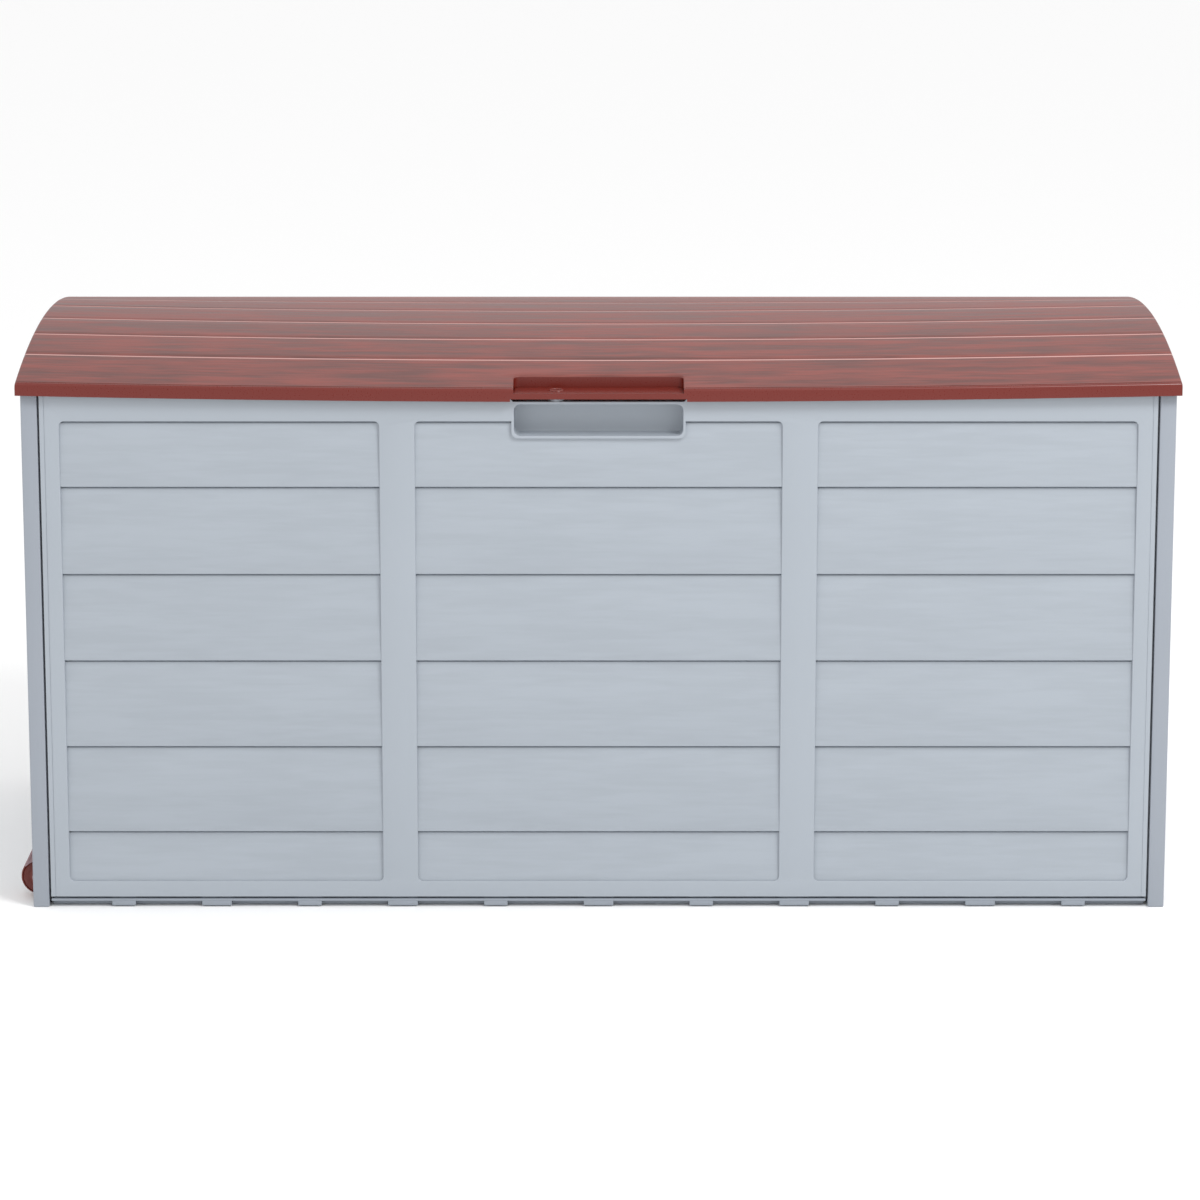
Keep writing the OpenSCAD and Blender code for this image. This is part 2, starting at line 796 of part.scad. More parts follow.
// Room round the axle's head and round the clip at its other end, rear wheel side
module axle_relief() {
    bar_y(wheel_x, wheel_z, wheel_y + bracket_out,
          wheel_y + bracket_out + axle_head_gap + axle_head_t + axle_room,
          axle_head_r + axle_room);
    bar_y(wheel_x, wheel_z, wheel_y - bracket_out - axle_end - axle_room,
          wheel_y - bracket_out, clip_r + axle_room);
}

// Cheek of the bracket, as an X-Z outline
module cheek() {
    face_x = -body_w / 2;
    difference() {
        polygon([[face_x + wall, hood_high], [face_x, hood_high],
                 [face_x - hood_out, hood_low], [face_x - hood_out, hood_low - hood_edge],
                 [face_x + wall, hood_low - hood_edge]]);
        translate([wheel_x, wheel_z])
            circle(wheel_r - arch_cut);
    }
    translate([wheel_x, bracket_low])
        square([housing_d - wheel_in, hood_high - bracket_low]);
    translate([wheel_x, wheel_z])
        circle(nose_r);
}

module wheel_bracket() {
    face_x = -body_w / 2;
    inner_x = wheel_x + housing_d - wheel_in;
    roof_out = hood_roof * hood_out;
    roof_low = hood_high - hood_roof * (hood_high - hood_low);
    color("#8c463c")
        difference() {
            union() {
                for (side = [-1, 1])
                    translate([0, -wheel_y + side * (bracket_in + cheek_t / 2) - cheek_t / 2, 0])
                        through(cheek_t)
                            cheek();
                // hood over the wheel, which ends where it would meet the tread
                translate([0, -wheel_y - bracket_out, 0])
                    through(2 * bracket_out)
                        polygon([[inner_x, hood_high], [face_x, hood_high],
                                 [face_x - roof_out, roof_low],
                                 [face_x - roof_out + hood_t, roof_low],
                                 [face_x + hood_t, hood_high - 2 * hood_t],
                                 [inner_x, hood_high - 2 * hood_t]]);
                // inner wall
                block([inner_x - flange_t, -wheel_y - bracket_out, bracket_low],
                      [inner_x, -wheel_y + bracket_out, hood_high]);
                // flange against the end panel's inner face
                block([face_x + wall, -wheel_y - bracket_out, hood_high - eps],
                      [face_x + wall + flange_t, -wheel_y + bracket_out + flange_reach,
                       hood_high + flange_up]);
                block([face_x + wall, -wheel_y + bracket_out - eps,
                       panel_z + wall + flange_foot],
                      [face_x + wall + flange_t, -wheel_y + bracket_out + flange_reach,
                       hood_high + eps]);
            }
            bar_y(wheel_x, wheel_z, -wheel_y - bracket_out - cut, -wheel_y + bracket_out + cut,
                  axle_r + hole_fit);
            either_side(-1, [0, 1, 0])
                axle_relief();
            for (s = bracket_screws_yz)
                bar_x(-wheel_y + s[0], s[1], face_x, face_x + wall + flange_t + cut,
                      screw_r + screw_fit);
        }
}

module wheel() {
    tread_w = wheel_w - 2;
    hub_r = wheel_r - 2.6;
    color("#6e352c")
        translate([wheel_x, -wheel_y, wheel_z])
            rotate([90, 0, 0])
                rotate_extrude($fn = 96)
                    polygon([[axle_r + run_fit, -wheel_w / 2], [hub_r - 1, -wheel_w / 2],
                             [hub_r, -wheel_w / 2 + 1], [hub_r, -tread_w / 2 + 1],
                             [wheel_r - 1, -tread_w / 2 + 0.4], [wheel_r, -tread_w / 2 + 1.4],
                             [wheel_r, tread_w / 2 - 1.4], [wheel_r - 1, tread_w / 2 - 0.4],
                             [hub_r, tread_w / 2 - 1], [hub_r, wheel_w / 2 - 1],
                             [hub_r - 1, wheel_w / 2], [axle_r + run_fit, wheel_w / 2]]);
}

module axle() {
    start = -wheel_y - bracket_out - axle_head_gap;
    color("silver") {
        bar_y(wheel_x, wheel_z, start, -wheel_y + bracket_out + axle_end, axle_r);
        bar_y(wheel_x, wheel_z, start - axle_head_t, start + eps, axle_head_r);
    }
}

module axle_clip() {
    start = -wheel_y + bracket_out + clip_gap;
    color("dimgray")
        difference() {
            bar_y(wheel_x, wheel_z, start, start + clip_t, clip_r);
            bar_y(wheel_x, wheel_z, start - cut, start + clip_t + cut, axle_r + hole_fit);
        }
}

// ---- Screws ----------------------------------------------------------------

// A pan-head screw at the origin: head above z = 0, shank below
module screw(length) {
    cylinder(r = head_r, h = head_h - head_edge);
    translate([0, 0, head_h - head_edge - eps])
        cylinder(r1 = head_r, r2 = head_r - 1, h = head_edge);
    translate([0, 0, -length])
        cylinder(r = screw_r, h = length + eps);
}

module corner_screws() {
    color("gray")
        for (sx = [-1, 1], side = [-1, 1], z = corner_screw_z)
            either_side(side, [0, 1, 0])
                translate([sx * corner_screw_x, leg_back_y, z])
                    rotate([90, 0, 0])
                        screw(10);
}

module hinge_body_screws() {
    color("gray")
        for (x = hinge_places, s = body_leaf_screws)
            translate([x + s[0], face_y + leaf_t, s[1]])
                rotate([-90, 0, 0])
                    screw(10);
}

module hinge_lid_screws() {
    color("gray")
        for (x = hinge_places, sx = [-1, 1])
            translate([x + sx * hinge_screw_x, lid_d / 2 + lid_leaf_t, lid_screw_z])
                rotate([-90, 0, 0])
                    screw(9);
}

module bracket_screws() {
    color("gray")
        for (side = [-1, 1], s = bracket_screws_yz)
            either_side(side, [0, 1, 0])
                translate([-body_w / 2 + wall + flange_t, wheel_y - s[0], s[1]])
                    rotate([0, 90, 0])
                        screw(wall + flange_t - 0.6);
}

base_panel();
front_panel();
back_panel();
left_end_panel();
right_end_panel();
lid_shell();
hinge_body_leaf(-hinge_x);  // hinge_body_leaf_left
hinge_body_leaf(0);  // hinge_body_leaf_middle
hinge_body_leaf(hinge_x);  // hinge_body_leaf_right
hinge_lid_leaf(-hinge_x);  // hinge_lid_leaf_left
hinge_lid_leaf(0);  // hinge_lid_leaf_middle
hinge_lid_leaf(hinge_x);  // hinge_lid_leaf_right
hinge_pin(-hinge_x);  // hinge_pin_left
hinge_pin(0);  // hinge_pin_middle
hinge_pin(hinge_x);  // hinge_pin_right
wheel_bracket();  // wheel_bracket_front
mirror([0, 1, 0]) wheel_bracket();  // wheel_bracket_rear
wheel();  // wheel_front
mirror([0, 1, 0]) wheel();  // wheel_rear
axle();  // axle_front
mirror([0, 1, 0]) axle();  // axle_rear
axle_clip();  // axle_clip_front
mirror([0, 1, 0]) axle_clip();  // axle_clip_rear
corner_screws();
hinge_body_screws();
hinge_lid_screws();
bracket_screws();
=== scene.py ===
"""Looks of a moulded deck storage box: clapboard panels, a barrel lid and tipping wheels.

X runs along the box, the front faces -Y and Z is up. Lengths are metres, and MM turns
millimetres into them.
"""

import math

import bmesh
import bpy
from bpy.props import FloatProperty, FloatVectorProperty, PointerProperty
from bpy.types import Operator, Panel, PropertyGroup
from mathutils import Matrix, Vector


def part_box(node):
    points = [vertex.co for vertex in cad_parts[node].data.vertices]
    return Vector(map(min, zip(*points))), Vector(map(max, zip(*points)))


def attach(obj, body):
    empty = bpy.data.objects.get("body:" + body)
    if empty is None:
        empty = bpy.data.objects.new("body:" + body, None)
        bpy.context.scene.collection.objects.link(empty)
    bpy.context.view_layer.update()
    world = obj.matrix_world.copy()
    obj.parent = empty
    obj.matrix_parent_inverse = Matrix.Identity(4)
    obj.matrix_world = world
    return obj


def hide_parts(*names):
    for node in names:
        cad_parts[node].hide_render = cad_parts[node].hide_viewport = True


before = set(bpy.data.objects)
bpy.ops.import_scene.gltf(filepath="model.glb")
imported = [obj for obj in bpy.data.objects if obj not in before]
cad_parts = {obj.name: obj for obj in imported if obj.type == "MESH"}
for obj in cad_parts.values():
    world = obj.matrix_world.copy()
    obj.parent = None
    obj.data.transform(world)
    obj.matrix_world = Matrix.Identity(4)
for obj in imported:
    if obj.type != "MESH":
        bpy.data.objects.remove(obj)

bl_info = {
    "name": "Deck storage box",
    "version": (1, 0, 0),
    "blender": (4, 5, 0),
    "location": "View3D > Sidebar > Storage box",
    "description": "Builds the panels, lid, hinges and wheels of a moulded storage box",
    "category": "Object",
}

MM = 0.001
CUT = 1 * MM          # how far a cutting shape reaches past the face that it opens


# ---- Settings ---------------------------------------------------------------------------


def to_linear(code):
    """Linear RGBA of an sRGB hex colour."""
    channels = [int(code[i:i + 2], 16) / 255 for i in (1, 3, 5)]
    return tuple(c / 12.92 if c <= 0.04045 else ((c + 0.055) / 1.055) ** 2.4
                 for c in channels) + (1.0,)


def length(name, description, millimetres):
    """A length setting, given in millimetres."""
    return FloatProperty(name=name, description=description, default=millimetres * MM,
                         min=0, unit="LENGTH", subtype="DISTANCE")


def colour(name, description, code):
    """A colour setting, given as an sRGB hex value."""
    return FloatVectorProperty(name=name, description=description, subtype="COLOR",
                               size=4, min=0, max=1, default=to_linear(code))


class BoxSizes(PropertyGroup):
    """Sizes of the moulded pieces."""

    wall: length("Wall", "Thickness of the moulded walls", 3)
    leg_width: length("Leg width", "Width of a corner leg, seen from the front", 15.5)
    leg_depth: length("Leg depth", "Depth of a corner leg, front to back", 21)
    leg_gap: length("Leg gap", "Open gap between a leg and the panel beside it", 2)
    leg_lip: length("Leg lip", "Depth of the lip along the leg's inner edge", 6)
    leg_round: length("Leg rounding", "Radius of the legs' edges", 1.2)
    panel_return: length("Panel return", "Depth of the flanges round a panel", 14)
    step_line: length("Step line", "Distance of the fine step from a panel's edge", 4.5)
    mid_bay: length("Middle bay", "Width of the middle clapboard bay", 350.5)
    stile: length("Stile", "Width of the plain stile between two bays", 34)
    edge_stile: length("Edge stile", "Width of the plain stile at a panel's edge", 18.5)
    bay_low: length("Bay foot", "Height of the bays' lower edge", 26)
    bay_high: length("Bay head", "Height of the bays' upper edge", 481.5)
    bay_depth: length("Bay depth", "Depth of a bay's walls behind the face", 8)
    bay_corner: length("Bay corner", "Corner radius of a bay", 5)
    bay_edge: length("Bay edge", "Radius of the rounded edge round a bay", 0.8)
    board_first: length("First board line", "Height of the lowest clapboard line", 76)
    board_pitch: length("Board pitch", "Spacing of the clapboard lines", 85.4)
    board_out: length("Board foot", "Depth of a board's lower edge behind the face", 1)
    board_in: length("Board head", "Depth of a board's upper edge behind the face", 4)
    board_slot: length("Board slot", "Height of the dark slot under a board", 1.5)
    grip_width: length("Grip width", "Width of the grip pocket in the front", 161)
    carry_width: length("Carry grip", "Width of the carrying grips in the ends", 130)
    grip_height: length("Grip height", "Height of a grip pocket", 30.5)
    grip_depth: length("Grip depth", "Depth of a grip pocket", 22)
    grip_wall: length("Grip wall", "Thickness of a grip pocket's walls", 2.5)
    grip_rim: length("Grip rim", "Width of the flush rim round a grip pocket", 2.5)
    shelf_drop: length("Shelf drop", "Depth of the shelf below the panels' top", 8.5)
    notch_width: length("Notch width", "Width of the notch under the handle", 180)
    shelf_depth: length("Shelf depth", "Depth of the shelf, front to back", 33)
    lock_x: length("Padlock hole", "Distance of the padlock hole from the middle", 40)
    lock_inset: length("Padlock inset", "Distance of the hole behind the lid's edge", 17)
    lock_radius: length("Padlock radius", "Radius of the padlock hole", 4.5)
    rim_height: length("Rim height", "Height of the lid's rim", 12)
    rim_round: length("Rim rounding", "Radius of the rim's upper edge", 2)
    rim_bow: length("Rim bow", "How far the front rim hangs lower at its middle", 6)
    plank: length("Plank", "Spacing of the lid's plank grooves", 66.5)
    mid_plank_extra: length("Middle plank", "Extra width of the middle plank", 7.5)
    groove_depth: length("Groove depth", "Depth of a plank groove", 1.3)
    groove_half: length("Groove half width", "Half the width of a plank groove", 1.5)
    recess_width: length("Recess width", "Width of the handle recess", 162)
    recess_depth: length("Recess depth", "Depth of the handle recess, front to back", 34)
    recess_corner: length("Recess corner", "Corner radius of the handle recess", 6)
    lip_height: length("Lip height", "Height of the handle's front lip", 5.5)


class BoxColours(PropertyGroup):
    """Colours of the plastics and the metal."""

    panel: colour("Panels", "Grey of the front, back and boards", "#9da4ac")
    leg: colour("Legs", "Grey of the end panels and their legs", "#9197a0")
    base: colour("Base", "Grey of the base", "#8d949d")
    lid: colour("Lid", "Brick red of the lid's planks", "#6c342e")
    rim: colour("Rim", "Deep red of the lid's rim and recess", "#671d13")
    # painted highlight: the grooves' pale red stands in for light caught on their far walls;
    # the grooves are the planks' own brick red plastic
    groove: colour("Grooves", "Pale red of the plank grooves' painted highlight", "#b48d88")
    wheel: colour("Wheels", "Dark red brown of the wheels", "#6a2a22")
    # the brackets' brown red plastic is paled to pink grey here: painted sheen that stands in
    # for the white light they reflect
    bracket: colour("Brackets", "Brown red of the wheel brackets, paled to pink grey by painted sheen", "#94787c")
    hinge: colour("Hinges", "Charcoal of the hinge leaves", "#4b4f55")
    floor: colour("Floor", "White of the studio floor", "#fafafa")


# ---- Modelling --------------------------------------------------------------------------


def only(obj):
    """Selects obj alone and makes it active."""
    bpy.ops.object.select_all(action="DESELECT")
    obj.select_set(True)
    bpy.context.view_layer.objects.active = obj


def placed(name):
    """Names the primitive just added and puts its place into its mesh."""
    obj = bpy.context.active_object
    obj.name = obj.data.name = name
    bpy.ops.object.transform_apply(location=True, rotation=True, scale=True)
    return obj


def block(name, low, high):
    """A block given by its lowest and highest corners."""
    low, high = Vector(low), Vector(high)
    bpy.ops.object.select_all(action="DESELECT")
    bpy.ops.mesh.primitive_cube_add(size=1, location=(low + high) / 2, scale=high - low)
    return placed(name)


def rod(name, start, end, radius, sides=48):
    """A round bar from start to end."""
    start, end = Vector(start), Vector(end)
    turn = (end - start).to_track_quat("Z", "Y").to_euler()
    bpy.ops.object.select_all(action="DESELECT")
    bpy.ops.mesh.primitive_cylinder_add(vertices=sides, radius=radius, rotation=turn,
                                        depth=(end - start).length,
                                        location=(start + end) / 2)
    return placed(name)


def edit(obj, kind, test):
    """Opens obj in edit mode with those of its VERT, EDGE or FACE that pass the test."""
    only(obj)
    bpy.ops.object.mode_set(mode="EDIT")
    bpy.ops.mesh.select_mode(type=kind)
    bpy.ops.mesh.select_all(action="DESELECT")
    mesh = bmesh.from_edit_mesh(obj.data)
    for item in {"VERT": mesh.verts, "EDGE": mesh.edges, "FACE": mesh.faces}[kind]:
        item.select_set(bool(test(item)))
    mesh.select_flush_mode()
    bmesh.update_edit_mesh(obj.data)


def close(obj):
    """Leaves edit mode, with the faces pointing outwards."""
    bpy.ops.mesh.select_all(action="SELECT")
    bpy.ops.mesh.remove_doubles(threshold=1e-6)
    bpy.ops.mesh.normals_make_consistent(inside=False)
    bpy.ops.object.mode_set(mode="OBJECT")
    return obj


def prism(name, outline, start, end):
    """An outline of (x, z) points, extruded along Y from start to end."""
    bpy.ops.object.select_all(action="DESELECT")
    bpy.ops.mesh.primitive_circle_add(vertices=len(outline), fill_type="NGON")
    obj = placed(name)
    for vertex, (x, z) in zip(obj.data.vertices, outline):
        vertex.co = (x, start, z)
    step = (0, end - start, 0)
    edit(obj, "FACE", lambda face: True)
    bpy.ops.mesh.extrude_region_move(TRANSFORM_OT_translate={"value": step})
    return close(obj)


def slice_at(obj, axis, places):
    """Cuts edges into obj where it crosses each place along an axis (0, 1 or 2)."""
    edit(obj, "FACE", lambda face: True)
    for place in places:
        point, normal = [0, 0, 0], [0, 0, 0]
        point[axis], normal[axis] = place, 1
        bpy.ops.mesh.select_all(action="SELECT")
        bpy.ops.mesh.bisect(plane_co=point, plane_no=normal, threshold=1e-6)
    bpy.ops.object.mode_set(mode="OBJECT")


def apply_modifier(obj, kind, **settings):
    """Adds a modifier with its settings and applies it."""
    only(obj)
    modifier = obj.modifiers.new(kind.title(), kind)
    for key, value in settings.items():
        setattr(modifier, key, value)
    bpy.ops.object.modifier_apply(modifier=modifier.name)


def combine(obj, tool, operation="DIFFERENCE"):
    """Cuts tool from obj, or adds it, and removes tool."""
    apply_modifier(obj, "BOOLEAN", object=tool, operation=operation, solver="EXACT")
    bpy.data.objects.remove(tool)


def join(pieces):
    """Joins pieces that don't overlap into the first of them."""
    only(pieces[0])
    for piece in pieces[1:]:
        piece.select_set(True)
    if len(pieces) > 1:
        bpy.ops.object.join()
    return pieces[0]


def add_all(obj, pieces):
    combine(obj, join(pieces), "UNION")


def cut_all(obj, pieces):
    combine(obj, join(pieces))


def soften(obj, radius, segments=2, angle=40):
    """Rounds every sharp edge of obj."""
    apply_modifier(obj, "BEVEL", width=radius, segments=segments, limit_method="ANGLE",
                   angle_limit=math.radians(angle), use_clamp_overlap=False)
    return obj


def round_edges(obj, radius, segments, test):
    """Rounds the edges of obj that pass the test."""
    edit(obj, "EDGE", test)
    bpy.ops.mesh.bevel(offset=radius, segments=segments, affect="EDGES",
                       clamp_overlap=False)
    bpy.ops.object.mode_set(mode="OBJECT")
    return obj


def runs_along(edge, axis):
    """Whether an edge is parallel to an axis (0, 1 or 2)."""
    way = edge.verts[1].co - edge.verts[0].co
    return abs(way[axis]) > 0.999 * way.length


def duplicate(obj, name):
    """A copy of obj with its own mesh."""
    copy = obj.copy()
    copy.data = obj.data.copy()
    copy.name = copy.data.name = name
    bpy.context.scene.collection.objects.link(copy)
    return copy


def move(obj, offset=(0, 0, 0), turn=0.0, mirror=None):
    """Turns obj's mesh about Z, mirrors it across an axis, then moves it."""
    only(obj)
    obj.rotation_euler.z = turn
    obj.location = offset
    if mirror is not None:
        obj.scale[mirror] = -1
    bpy.ops.object.transform_apply(location=True, rotation=True, scale=True)
    if mirror is not None:
        edit(obj, "FACE", lambda face: True)
        close(obj)
    return obj


def spaced(low, high, gap, keep=()):
    """Evenly spaced places from low to high at most gap apart, with those in keep."""
    marks = sorted({low, high, *[k for k in keep if low < k < high]})
    places = []
    for a, b in zip(marks, marks[1:]):
        count = max(1, math.ceil((b - a) / gap - 1e-6))
        places += [a + (b - a) * i / count for i in range(count)]
    return places + [high]


def finished(obj, body, materials, nodes=(), smooth=35):
    """Smooths a piece by angle, gives it its materials and body, and hides the CAD nodes that
    it stands for.
    """
    only(obj)
    bpy.ops.object.shade_smooth_by_angle(angle=math.radians(smooth))
    for material in materials:
        if material.name not in obj.data.materials:
            obj.data.materials.append(material)
    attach(obj, body)
    if nodes:
        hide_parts(*nodes)
    return obj


def paint(obj, index, test):
    """Gives material number index to the faces whose centre and normal pass the test."""
    for face in obj.data.polygons:
        if test(face.center, face.normal):
            face.material_index = index


# ---- Materials --------------------------------------------------------------------------

PLASTIC_IOR = 1.49           # refractive index of polypropylene
GRAIN_SIZE = 1.2 * MM        # size of the mould's spark texture and of the pores


def add_node(tree, kind, inputs, **settings):
    """Adds a node with its settings; inputs are links or plain values, by socket."""
    node = tree.nodes.new(kind)
    for key, value in settings.items():
        setattr(node, key, value)
    for key, value in inputs.items():
        if isinstance(value, bpy.types.NodeSocket):
            tree.links.new(value, node.inputs[key])
        else:
            node.inputs[key].default_value = value
    return node


def new_material(name):
    """An empty node material with its Principled shader."""
    material = bpy.data.materials.get(name)
    if material:
        return material, None, None
    material = bpy.data.materials.new(name)
    material.use_nodes = True
    return material, material.node_tree, material.node_tree.nodes["Principled BSDF"]


def grain(tree, scale, stretch, detail=3.0, distortion=0.0):
    """Noise stretched along the box: stretch gives the X, Y and Z scales."""
    place = add_node(tree, "ShaderNodeTexCoord", {})
    mapped = add_node(tree, "ShaderNodeMapping",
                      {"Vector": place.outputs["Object"], "Scale": stretch})
    return add_node(tree, "ShaderNodeTexNoise",
                    {"Vector": mapped.outputs["Vector"], "Scale": scale,
                     "Detail": detail, "Distortion": distortion}).outputs["Fac"]


def shaded(code_value, factor):
    """A linear colour made lighter or darker by a factor."""
    return tuple(min(1.0, c * factor) for c in code_value[:3]) + (1.0,)


def moulded_plastic(name, base, roughness, mottle=0.04, fine=0.6, relief=0.05):
    """Injection-moulded polypropylene: satin, faintly mottled by the flow of the melt,
    with the fine spark texture of the mould."""
    material, tree, shader = new_material(name)
    if tree is None:
        return material
    flow = grain(tree, 6, (0.4, 1, 1), 2.0)
    tint = add_node(tree, "ShaderNodeMix",
                    {"Factor": flow, "A": shaded(base, 1 - mottle),
                     "B": shaded(base, 1 + mottle)}, data_type="RGBA")
    spark = grain(tree, 1 / GRAIN_SIZE, (1, 1, 1), 3.0)
    bump = add_node(tree, "ShaderNodeBump",
                    {"Height": spark, "Strength": fine, "Distance": relief * MM})
    gloss = add_node(tree, "ShaderNodeMapRange",
                     {"Value": spark, "To Min": roughness - 0.05,
                      "To Max": roughness + 0.07})
    tree.links.new(tint.outputs["Result"], shader.inputs["Base Color"])
    tree.links.new(gloss.outputs["Result"], shader.inputs["Roughness"])
    tree.links.new(bump.outputs["Normal"], shader.inputs["Normal"])
    shader.inputs["IOR"].default_value = PLASTIC_IOR
    return material


def zinc_steel():
    """Zinc-plated steel wire and screws: bright grey with a fine drawn grain."""
    material, tree, shader = new_material("zinc_plated_steel")
    if tree is None:
        return material
    drawn = grain(tree, 900, (1, 1, 1), 4.0)
    tone = add_node(tree, "ShaderNodeMix",
                    {"Factor": drawn, "A": to_linear("#8d9094"), "B": to_linear("#b4b7ba")},
                    data_type="RGBA")
    gloss = add_node(tree, "ShaderNodeMapRange",
                     {"Value": drawn, "To Min": 0.28, "To Max": 0.5})
    tree.links.new(tone.outputs["Result"], shader.inputs["Base Color"])
    tree.links.new(gloss.outputs["Result"], shader.inputs["Roughness"])
    shader.inputs["Metallic"].default_value = 1.0
    return material


def wood_embossed(name, base, roughness, relief, streak_mm, contrast):
    """Moulded polypropylene with an embossed wood grain that runs along the boards:
    long streaks of a given width over fine pores, paler on their crests."""
    material, tree, shader = new_material(name)
    if tree is None:
        return material
    streaks = grain(tree, 1 / (streak_mm * MM), (0.09, 1, 1), 5.0, 0.2)
    figure = grain(tree, 1 / (3.5 * streak_mm * MM), (0.12, 1, 1), 2.0)
    pores = grain(tree, 1 / GRAIN_SIZE, (0.05, 1, 1), 3.0)
    blend = add_node(tree, "ShaderNodeMath", {0: streaks, 1: figure}, operation="ADD")
    crest = add_node(tree, "ShaderNodeMapRange",
                     {"Value": blend.outputs["Value"], "From Min": 0.8, "From Max": 1.2})
    grain_tone = add_node(tree, "ShaderNodeMix",
                    {"Factor": crest.outputs["Result"], "A": shaded(base, 1 - contrast),
                     "B": shaded(base, 1 + contrast)}, data_type="RGBA")
    height = add_node(tree, "ShaderNodeMath",
                      {0: crest.outputs["Result"], 1: pores}, operation="ADD")
    bump = add_node(tree, "ShaderNodeBump",
                    {"Height": height.outputs["Value"], "Strength": 0.7,
                     "Distance": relief * MM})
    gloss = add_node(tree, "ShaderNodeMapRange",
                     {"Value": height.outputs["Value"], "From Max": 2.0,
                      "To Min": roughness - 0.08, "To Max": roughness + 0.1})
    tree.links.new(grain_tone.outputs["Result"], shader.inputs["Base Color"])
    tree.links.new(gloss.outputs["Result"], shader.inputs["Roughness"])
    tree.links.new(bump.outputs["Normal"], shader.inputs["Normal"])
    shader.inputs["IOR"].default_value = PLASTIC_IOR
    return material


def grey_face(colours):
    """Polypropylene, injection moulded: satin grey of the stiles and returns."""
    return moulded_plastic("moulded_grey_polypropylene", colours.panel, 0.42)


def grey_board(colours):
    """Polypropylene with an embossed wood grain: grey of the clapboards."""
    return wood_embossed("wood_embossed_grey_polypropylene", colours.panel, 0.45, 0.05,
                         4.0, 0.03)


def red_plank(colours):
    """Polypropylene with an embossed wood grain: brick red of the lid's planks. The
    streaks are drawn a little wider than they are, so that they show from afar."""
    return wood_embossed("wood_embossed_red_polypropylene", colours.lid, 0.46, 0.15,
                         4.5, 0.36)


def red_gloss(colours):
    """Polypropylene from a polished mould: glossy deep red of the rim and recess."""
    return moulded_plastic("polished_red_polypropylene", colours.rim, 0.28, relief=0.01,
                           fine=0.2)


def red_groove_highlight(colours):
    """Polypropylene in pale red on the fine lines between the planks: painted highlight,
    standing in for the light that the grooves' far walls catch.
    """
    return moulded_plastic("red_polypropylene_painted_highlight", colours.groove, 0.35, relief=0.02,
                           fine=0.3)


# ---- Panels -----------------------------------------------------------------------------
# A panel is modelled with its outer face on y = 0 and its depth towards +Y.


def body_box():
    """Lowest and highest corner of the walled body over its two end panels."""
    left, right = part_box("left_end_panel"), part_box("right_end_panel")
    return left[0], right[1]


def pocket(name, x, z, width, height, corner, mouth, floor, edge=0.0, profile=None):
    """Space of a round-cornered recess between its mouth and its floor, as depths.
    edge is the radius of its rim, and profile gives its floor as (height, depth)."""
    out = -1 if mouth < floor else 1
    obj = block(name, (x - width / 2, min(mouth + out * CUT, floor), z - height / 2),
                (x + width / 2, max(mouth + out * CUT, floor), z + height / 2))
    round_edges(obj, corner, 6, lambda edge: runs_along(edge, 1))
    if profile:
        slice_at(obj, 2, [p[0] for p in profile if abs(p[0] - z) < height / 2 - 1e-6])
    if edge:
        slice_at(obj, 1, [mouth - out * edge * share for share in (0, 0.12, 0.35, 0.65, 1)])
    for vertex in obj.data.vertices:
        co = vertex.co
        if profile and abs(co.y - floor) < 1e-6:
            co.y = along_profile(profile, co.z)
        depth = (co.y - mouth) * -out
        if edge and depth < edge:
            reach_x, reach_z = width / 2 - corner, height / 2 - corner
            inner = Vector((min(max(co.x, x - reach_x), x + reach_x), co.y,
                            min(max(co.z, z - reach_z), z + reach_z)))
            rise = edge - max(depth, 0)
            vertex.co = co + (co - inner).normalized() * (
                edge - math.sqrt(max(edge * edge - rise * rise, 0)))
    return obj


def along_profile(profile, place):
    """Value of a piecewise straight profile of (place, value) pairs."""
    for (a, value_a), (b, value_b) in zip(profile, profile[1:]):
        if place <= b + 1e-9:
            return value_a + (value_b - value_a) * (place - a) / (b - a)
    return profile[-1][1]


def board_lines(s, low):
    """Heights of the clapboard lines inside a bay that starts at low."""
    lines, z = [], s.board_first
    while z < s.bay_high - 20 * MM:
        if z > low + 20 * MM:
            lines.append(z)
        z += s.board_pitch
    return lines


def board_profile(s, low, slot, behind=0.0):
    """Depth of the clapboards' faces up a bay, with a slot under each board's foot."""
    lines = board_lines(s, low)
    lean = (s.board_in - s.board_out) / s.board_pitch
    start = s.board_in - (lines[0] - low) * lean
    profile = [(low, start + behind)]
    head = s.board_in
    for z in lines:
        profile += [(z - slot - 0.5 * MM, head - (slot + 0.5 * MM) * lean + behind)]
        if behind:
            profile += [(z + 0.4 * MM, head + behind), (z + 0.9 * MM, s.board_out + behind)]
        else:
            profile += [(z - slot, head + 1.6 * MM), (z - 0.1 * MM, head + 2.2 * MM),
                        (z, s.board_out + 0.7 * MM), (z + 0.25 * MM, s.board_out + 0.2 * MM),
                        (z + 0.8 * MM, s.board_out)]
    top = s.board_out + (s.bay_high - lines[-1]) * lean
    if behind:
        return profile + [(s.bay_high, top + behind)]
    return profile + [(s.bay_high - 1.5 * slot, top),
                      (s.bay_high - 1.4 * slot, top + 1.6 * MM),
                      (s.bay_high, top + 2.4 * MM)]


